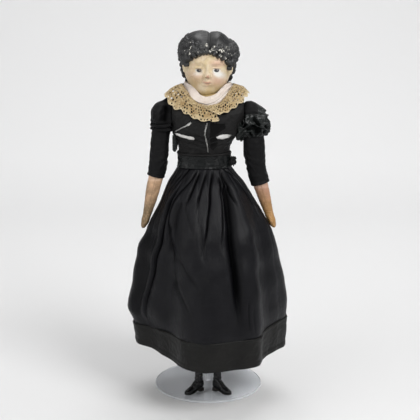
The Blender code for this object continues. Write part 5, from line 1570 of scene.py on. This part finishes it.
def makeForearm(side):
    wrist, hand = arm["wrist"], arm["hand"]
    shape = (
        (wrist + hand, 0.6, 1.2),
        (wrist + hand - 0.8, 1.7, 2.9),
        (wrist + hand * 0.88, 3.3, 4.9),
        (wrist + hand * 0.6, 5.2, 6.3),
        (wrist + hand * 0.3, 5.6, 6.4),
        (wrist, 6.0, 5.6),
        (wrist - 4, 6.6, 6.2),
        (wrist - 26, 8.9, 8.4),
        (arm["sleeve"][side][1], 9.8, 9.6),
        (69, 8.6, 8.6),
    )

    def kidSpot(across, up):
        turn, at = across * math.tau, wrist + hand - up * (wrist + hand - 69.3)
        sizes = through(tuple(reversed(shape)), at)
        return armSpot(side, at, turn, sizes[:, 0], sizes[:, 1])

    limb = gridPiece(side + "Limb", 40, 120, kidSpot, rightKid, closed=True)

    def thumbSpot(across, up):
        turn, share = across * math.tau, 0.05 + up * 0.6
        half = through(((0.05, 1.5), (0.3, 2.3), (0.5, 2.1), (0.6, 1.5), (0.65, 0.4)), share)[:, 0]
        forward = through(((0.05, 2.0), (0.3, 6.2), (0.5, 7.8), (0.65, 8.4)), share)[:, 0]
        points = armSpot(side, wrist + hand * share, turn, half, half, -1.0)
        points[:, 1] -= forward * mm
        return points

    thumb = gridPiece(side + "Thumb", 14, 20, thumbSpot, rightKid, closed=True)
    for piece in (limb, thumb):
        pick(piece)
        bpy.ops.object.mode_set(mode="EDIT")
        bpy.ops.mesh.select_all(action="DESELECT")
        bpy.ops.mesh.select_non_manifold()
        bpy.ops.mesh.edge_face_add()
        bpy.ops.mesh.select_all(action="SELECT")
        bpy.ops.mesh.normals_make_consistent(inside=False)
        bpy.ops.object.mode_set(mode="OBJECT")
    addModifier(limb, "BOOLEAN", object=thumb, operation="UNION", solver="EXACT")
    applyAll(limb)
    bpy.data.objects.remove(thumb)
    addModifier(limb, "REMESH", mode="VOXEL", voxel_size=0.00055)
    addModifier(limb, "SMOOTH", factor=0.5, iterations=4)
    applyAll(limb)
    points, out = pointsOf(limb), normalsOf(limb)
    line, x, z, lean = armLine(side)
    at = np.interp(-points[:, 2], -z, line)
    aside = (np.abs(points[:, 0]) - np.interp(at, line, x)) / mm / np.cos(np.interp(at, line, lean))
    y = points[:, 1] / mm
    fingers = np.zeros(len(points))
    for groove in (-2.6, 0.4, 3.2):  # stitched lines between the fingers
        fingers = np.maximum(fingers, bump(y, groove, 0.42) * ease(wrist + 6.5, wrist + 9.5, at))
    sewn = bump(aside, 0, 0.35) * ease(2, 4, y)
    sewn += bump(aside, 0, 0.3) * ease(-5.5, -6.5, y) * ease(wrist - 4, wrist - 10, at)
    soft = 0.16 * ripples(points, 0.009, 121)
    soft += 0.30 * (creases(points, 0.011, 123) - 0.3) * ease(wrist + 4, wrist - 12, at)
    wrinkle = 0.25 * np.cos((at + 0.5 * y) * 2.1) * bump(at, wrist - 1, 4)
    moved = soft + wrinkle - 0.75 * fingers - 0.3 * np.clip(sewn, 0, 1)
    movePoints(limb, points + out * (moved * mm)[:, None])
    paintPoints(limb, "seam", np.clip(fingers + 0.6 * sewn, 0, 1))
    paintPoints(limb, "handward", ease(wrist - 34, wrist + 2, at))
    paintPoints(limb, "cuff", ease(arm["sleeve"][side][1] + 7, arm["sleeve"][side][1] + 4, at))
    limb.data.materials.clear()
    limb.data.materials.append(leftKid if side == "left" else rightKid)
    limb.name = side + "Forearm"
    smoothShade(limb)
    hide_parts(side + "_forearm")
    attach(limb, side + "_arm")


for side in sides:
    makeSleeves(side)
    makeForearm(side)
print("arms made")


# White ribbon folded round the neck, and the lace over the shoulders
neck = {"half": 33, "front": 28, "back": 26, "tall": 14}
lace = {
    "half": 60,
    "front": 39,
    "back": 36,
    "fall": 6,
    "frontFall": 28,
    "backFall": 14,
    "tiles": 86,
    "rows": 6,
    "scallops": 27,
    "leaves": 0.16,  # share of the tiles that are close-worked
    "thick": 0.5,
    "seed": 5,
    "kept": 0.64,  # of the mesh's triangles
    "width": (
        # degrees along the strip, its width there; the first end is cut slantwise and lies on top
        (-96, 0.2), (-86, 0.47), (-78, 0.68), (-70, 0.74), (-54, 0.68), (-46, 0.68),
        (-30, 0.77), (-10, 0.79), (20, 0.86), (60, 1.0), (120, 1.0), (170, 0.92),
        (215, 0.9), (231, 0.76), (247, 0.83), (263, 1.0), (285, 1.03),
    ),
    "holes": (0.34, 0.52, 0.62, 0.54, 0.62, 0.42),  # row by row, as a share of a tile
}
bodiceSolid = solidOf("bodice")


def neckRest():  # height of the bodice under the ribbon, all round
    turns = np.radians(np.arange(0, 361, 2.0))
    found = []
    for turn in turns:
        x = (neck["half"] - 0.8) * math.cos(turn) * mm
        deep = neck["front"] if math.sin(turn) < 0 else neck["back"]
        y = (deep - 0.8) * math.sin(turn) * mm
        found.append(bodiceSolid.ray_cast(Vector((x, y, 0.4633)), Vector((0, 0, -1)))[0].z)
    return turns, np.array(found)


restTurns, restHeights = neckRest()


def neckSpot(turn, rise, out):  # rise 0 at the bodice to 1 at the top edge; out in mm
    c, s = np.cos(turn), np.sin(turn)
    rest = np.interp(np.mod(turn, math.tau), restTurns, restHeights)
    tall = neck["tall"] - 4 * ease(0.2, 1.0, -s) - 5 * ease(0.3, 1.0, s)
    deep = np.where(s < 0, neck["front"], neck["back"])
    z = rest + (0.9 + tall * rise) * mm
    return np.stack([(neck["half"] + out) * c * mm, (deep + out) * s * mm, z], -1)


def makeNeckRibbon():
    def ribbonSpot(across, up):
        turn = (across - 0.25) * math.tau
        # the ribbon stands up from the bodice against the chin, rolls over and hangs down inside
        rise = np.where(up < 0.6, up / 0.6, 1 - (up - 0.6) / 0.4 * 0.75)
        inside, front = ease(0.52, 0.68, up), ease(0.1, 0.9, -np.sin(turn))
        rolled = 0.8 * bump(up, 0.6, 0.12)
        plain = neckSpot(turn, rise, 0 * rise)
        lean = (1.2 + 6.3 * front) * ease(0.2, 1.0, rise)
        slant = rise - 0.35 - 0.3 * np.cos(turn + 0.3)  # a crease climbing to the doll's left
        fold = 1.5 * bump(slant, 0.0, 0.09) - 0.9 * bump(slant, -0.17, 0.07)
        soft = 0.8 * ripples(plain, 0.017, 131) + 0.9 * creases(plain, 0.013, 133)
        out = -0.6 - lean - 1.6 * inside + (fold + 0.6 * soft * ease(0.02, 0.2, up)) * (1 - inside)
        points = neckSpot(turn, rise, np.minimum(out, 0.9))
        uneven = 0.6 * ripples(plain, 0.03, 137, 1) * ease(0.2, 0.6, up)
        points[:, 2] += (rolled + 1.6 * front * rise + uneven) * mm
        return points

    ribbon = gridPiece("neckRibbon", 300, 44, ribbonSpot, ribbonFinish, (0.19, 0.03), closed=True)
    thicken(ribbon, 0.0005)
    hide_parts("neckband")
    declareSheet(ribbon, (0.22, 0.034))
    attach(ribbon, "doll_body")


def laceSpot(turn, share, lift):
    c, s = np.cos(turn), np.sin(turn)
    front, rear = ease(0.1, 1.0, -s), ease(0.2, 1.0, s)
    inner = neckSpot(turn, 0.2 + 0.62 * ease(0.95, 0.35, -s), 1.6 + lift)
    deep = np.where(s < 0, lace["front"], lace["back"])
    fall = lace["fall"] + lace["frontFall"] * front + lace["backFall"] * rear
    outer = np.stack([lace["half"] * c * mm, deep * s * mm, body["neck"] - fall * mm], -1)
    points = inner + (outer - inner) * share[:, None]
    points[:, 2] += (3 * np.sin(math.pi * np.minimum(share, 1)) * (1 - 0.6 * front) + lift * share) * mm
    points[:, 1] -= 1.5 * lift * front * share * mm
    return points


def makeLace():
    tiles, rows = lace["tiles"], lace["rows"]
    dice = np.random.default_rng(lace["seed"])
    ring = ((0, 0), (0.5, 0), (1, 0), (1, 0.5), (1, 1), (0.5, 1), (0, 1), (0, 0.5))
    marks, faces, index = [], [], {}

    def corner(u, v):
        key = (round(u * 2), round(v * 2))
        if key not in index:
            index[key] = len(marks)
            jog = dice.uniform(-0.16, 0.16, 2) * (0 < v < rows)
            marks.append((u + jog[0], v + jog[1]))
        return index[key]

    for row in range(rows):
        shift = 0.5 * (row % 2)
        for tile in range(tiles):
            u = tile + shift
            outer = [corner(u + a, row + b) for a, b in ring]
            if dice.random() < lace["leaves"]:  # no eyelet here
                faces.append(tuple(outer))
                continue
            big = lace["holes"][row] * dice.uniform(0.6, 1.5)
            x, y = u + 0.5 + dice.uniform(-0.13, 0.13), row + 0.5 + dice.uniform(-0.13, 0.13)
            first = len(marks)
            for a, b in ring:
                away = math.hypot(a - 0.5, b - 0.5)
                marks.append((x + (a - 0.5) / away * 0.5 * big, y + (b - 0.5) / away * 0.5 * big))
            for k in range(8):
                n = (k + 1) % 8
                faces.append((outer[k], outer[n], first + n, first + k))
    marks = np.array(marks)
    along, share = marks[:, 0] / (tiles + 0.5), marks[:, 1] / rows
    start, end = lace["width"][0][0], lace["width"][-1][0]
    degrees = start + (end - start) * along
    turn = np.radians(degrees)
    lift = 1.9 * ease(-40, -66, degrees)
    scallop = np.abs(np.sin(math.pi * along * lace["scallops"]))
    border = share
    share = share + 0.12 * (scallop - 0.75) * ease(0.55, 1.0, share)
    share = share * through(lace["width"], degrees)[:, 0]
    points = laceSpot(turn, share, lift)
    wave = ripples(points, 0.016, 141) * ease(0.05, 0.5, share)
    points[:, 2] += (0.55 + 0.75 * wave + 0.5 * dice.uniform(-1, 1, len(points))) * mm
    mesh = bpy.data.meshes.new("laceCollar")
    mesh.from_pydata(points.tolist(), [], faces)
    cloth = bpy.data.objects.new("laceCollar", mesh)
    scene.collection.objects.link(cloth)
    mesh.materials.append(laceFinish)
    layer = mesh.uv_layers.new(name="UVMap").data
    spread = np.stack([along * 0.32, share * 0.034], 1)
    for loop in mesh.loops:
        layer[loop.index].uv = spread[loop.vertex_index]
    edge = np.maximum(ease(0.84, 0.97, border), ease(0.012, 0.004, along))
    paintPoints(cloth, "pale", np.clip(edge + 0.75 * dice.random(len(points)) ** 2, 0, 1))
    faceOut(cloth)
    addModifier(cloth, "SUBSURF", levels=1, render_levels=1)
    addModifier(cloth, "SOLIDIFY", thickness=lace["thick"] * mm, offset=0, use_even_offset=False)
    addModifier(cloth, "SUBSURF", levels=1, render_levels=1)
    addModifier(cloth, "DECIMATE", ratio=lace["kept"])
    applyAll(cloth)
    smoothShade(cloth)
    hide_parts("lace_collar")
    declareSheet(cloth, (0.38, 0.036))
    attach(cloth, "doll_body")
    print("lace:", len(cloth.data.polygons), "faces")


# Stuffed muslin: the CAD form swells under a short cloth simulation
padding = {"voxel": 0.0028, "pressure": 4.0, "frames": 14, "cap": 0.0012, "shrink": 0.0006, "inset": 0.0002}


def stuffed(node, name, rides):
    pad = copyOf(node, name, muslinFinish)
    addModifier(pad, "REMESH", mode="VOXEL", voxel_size=padding["voxel"])
    applyAll(pad)
    movePoints(pad, pointsOf(pad) - normalsOf(pad) * padding["shrink"])
    start = pointsOf(pad)
    cloth = pad.modifiers.new("Cloth", "CLOTH")
    cloth.settings.use_pressure = True
    cloth.settings.uniform_pressure_force = padding["pressure"]
    cloth.settings.effector_weights.gravity = 0
    cloth.point_cache.frame_end = padding["frames"]
    for step in range(1, padding["frames"] + 1):
        scene.frame_set(step)
    applyAll(pad)
    scene.frame_set(1)
    moved = pointsOf(pad) - start
    far = np.linalg.norm(moved, axis=1, keepdims=True)
    movePoints(pad, start + moved * np.minimum(1, padding["cap"] / np.maximum(far, 1e-9)))
    addModifier(pad, "SUBSURF", levels=1, render_levels=1)
    applyAll(pad)
    points, out = pointsOf(pad), normalsOf(pad)
    relief = 0.25 * ripples(points, 0.012, 151) + 0.35 * (creases(points, 0.016, 153) - 0.4)
    movePoints(pad, points + out * (relief * mm - padding["inset"])[:, None])
    smoothShade(pad)
    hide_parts(node)
    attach(pad, rides)


# Boots with soles
boot = {"sole": 5.8, "toeOut": 52, "leg": 13.5}


def makeBoots(side):
    sign = sides[side]
    for node, name, finish, voxel, soft in (
        (side + "_boot", side + "Boot", bootFinish, 0.00045, 6),
        (side + "_boot_sole", side + "BootSole", soleFinish, 0.0003, 3),
    ):
        piece = copyOf(node, name, finish)
        addModifier(piece, "REMESH", mode="VOXEL", voxel_size=voxel)
        addModifier(piece, "SMOOTH", factor=0.5, iterations=soft)
        applyAll(piece)
        points, out = pointsOf(piece), normalsOf(piece)
        if finish is bootFinish:
            turn = sign * math.radians(boot["toeOut"])
            dx, dy = points[:, 0] / mm - sign * boot["leg"], points[:, 1] / mm
            toward = -(dy * math.cos(turn) - dx * math.sin(turn))  # heel to toe
            aside = -(dx * math.cos(turn) + dy * math.sin(turn))
            tall = points[:, 2] / mm - boot["sole"]
            folds = 0.35 * np.cos((tall + 0.35 * toward) * 1.15) * bump(tall, 19, 7)
            folds += 0.22 * np.cos(toward * 1.9) * bump(toward, 11, 4)
            welt = 0.35 * bump(tall, 2.9, 0.8) * ease(8, 10, toward)
            laces = 0.5 * np.abs(np.cos(tall * 0.95)) * bump(aside, 0, 1.6)
            laces = laces * ease(3, 5, toward) * ease(18, 22, tall) * ease(53, 48, tall)
            top = 0.4 * bump(tall, 53, 1.2)
            relief = folds + welt + laces + top + 0.12 * ripples(points, 0.006, 161)
            movePoints(piece, points + out * (relief * mm)[:, None])
        smoothShade(piece)
        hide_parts(node)
        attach(piece, side + "_lower_leg")


makeNeckRibbon()
makeLace()
print("neck ribbon and lace made")
stuffed("torso", "stuffedTrunk", "doll_body")
for side in sides:
    stuffed(side + "_upper_arm", side + "UpperArm", side + "_arm")
    stuffed(side + "_thigh", side + "Thigh", side + "_leg")
    stuffed(side + "_shin", side + "Shin", side + "_lower_leg")
    makeBoots(side)
stand = {"stand_disc": acrylicFinish, "stand_post": acrylicFinish, "stand_saddle": wireFinish}
for node, finish in stand.items():
    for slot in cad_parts[node].material_slots:
        slot.material = finish
print("stuffed limbs, boots and stand made")
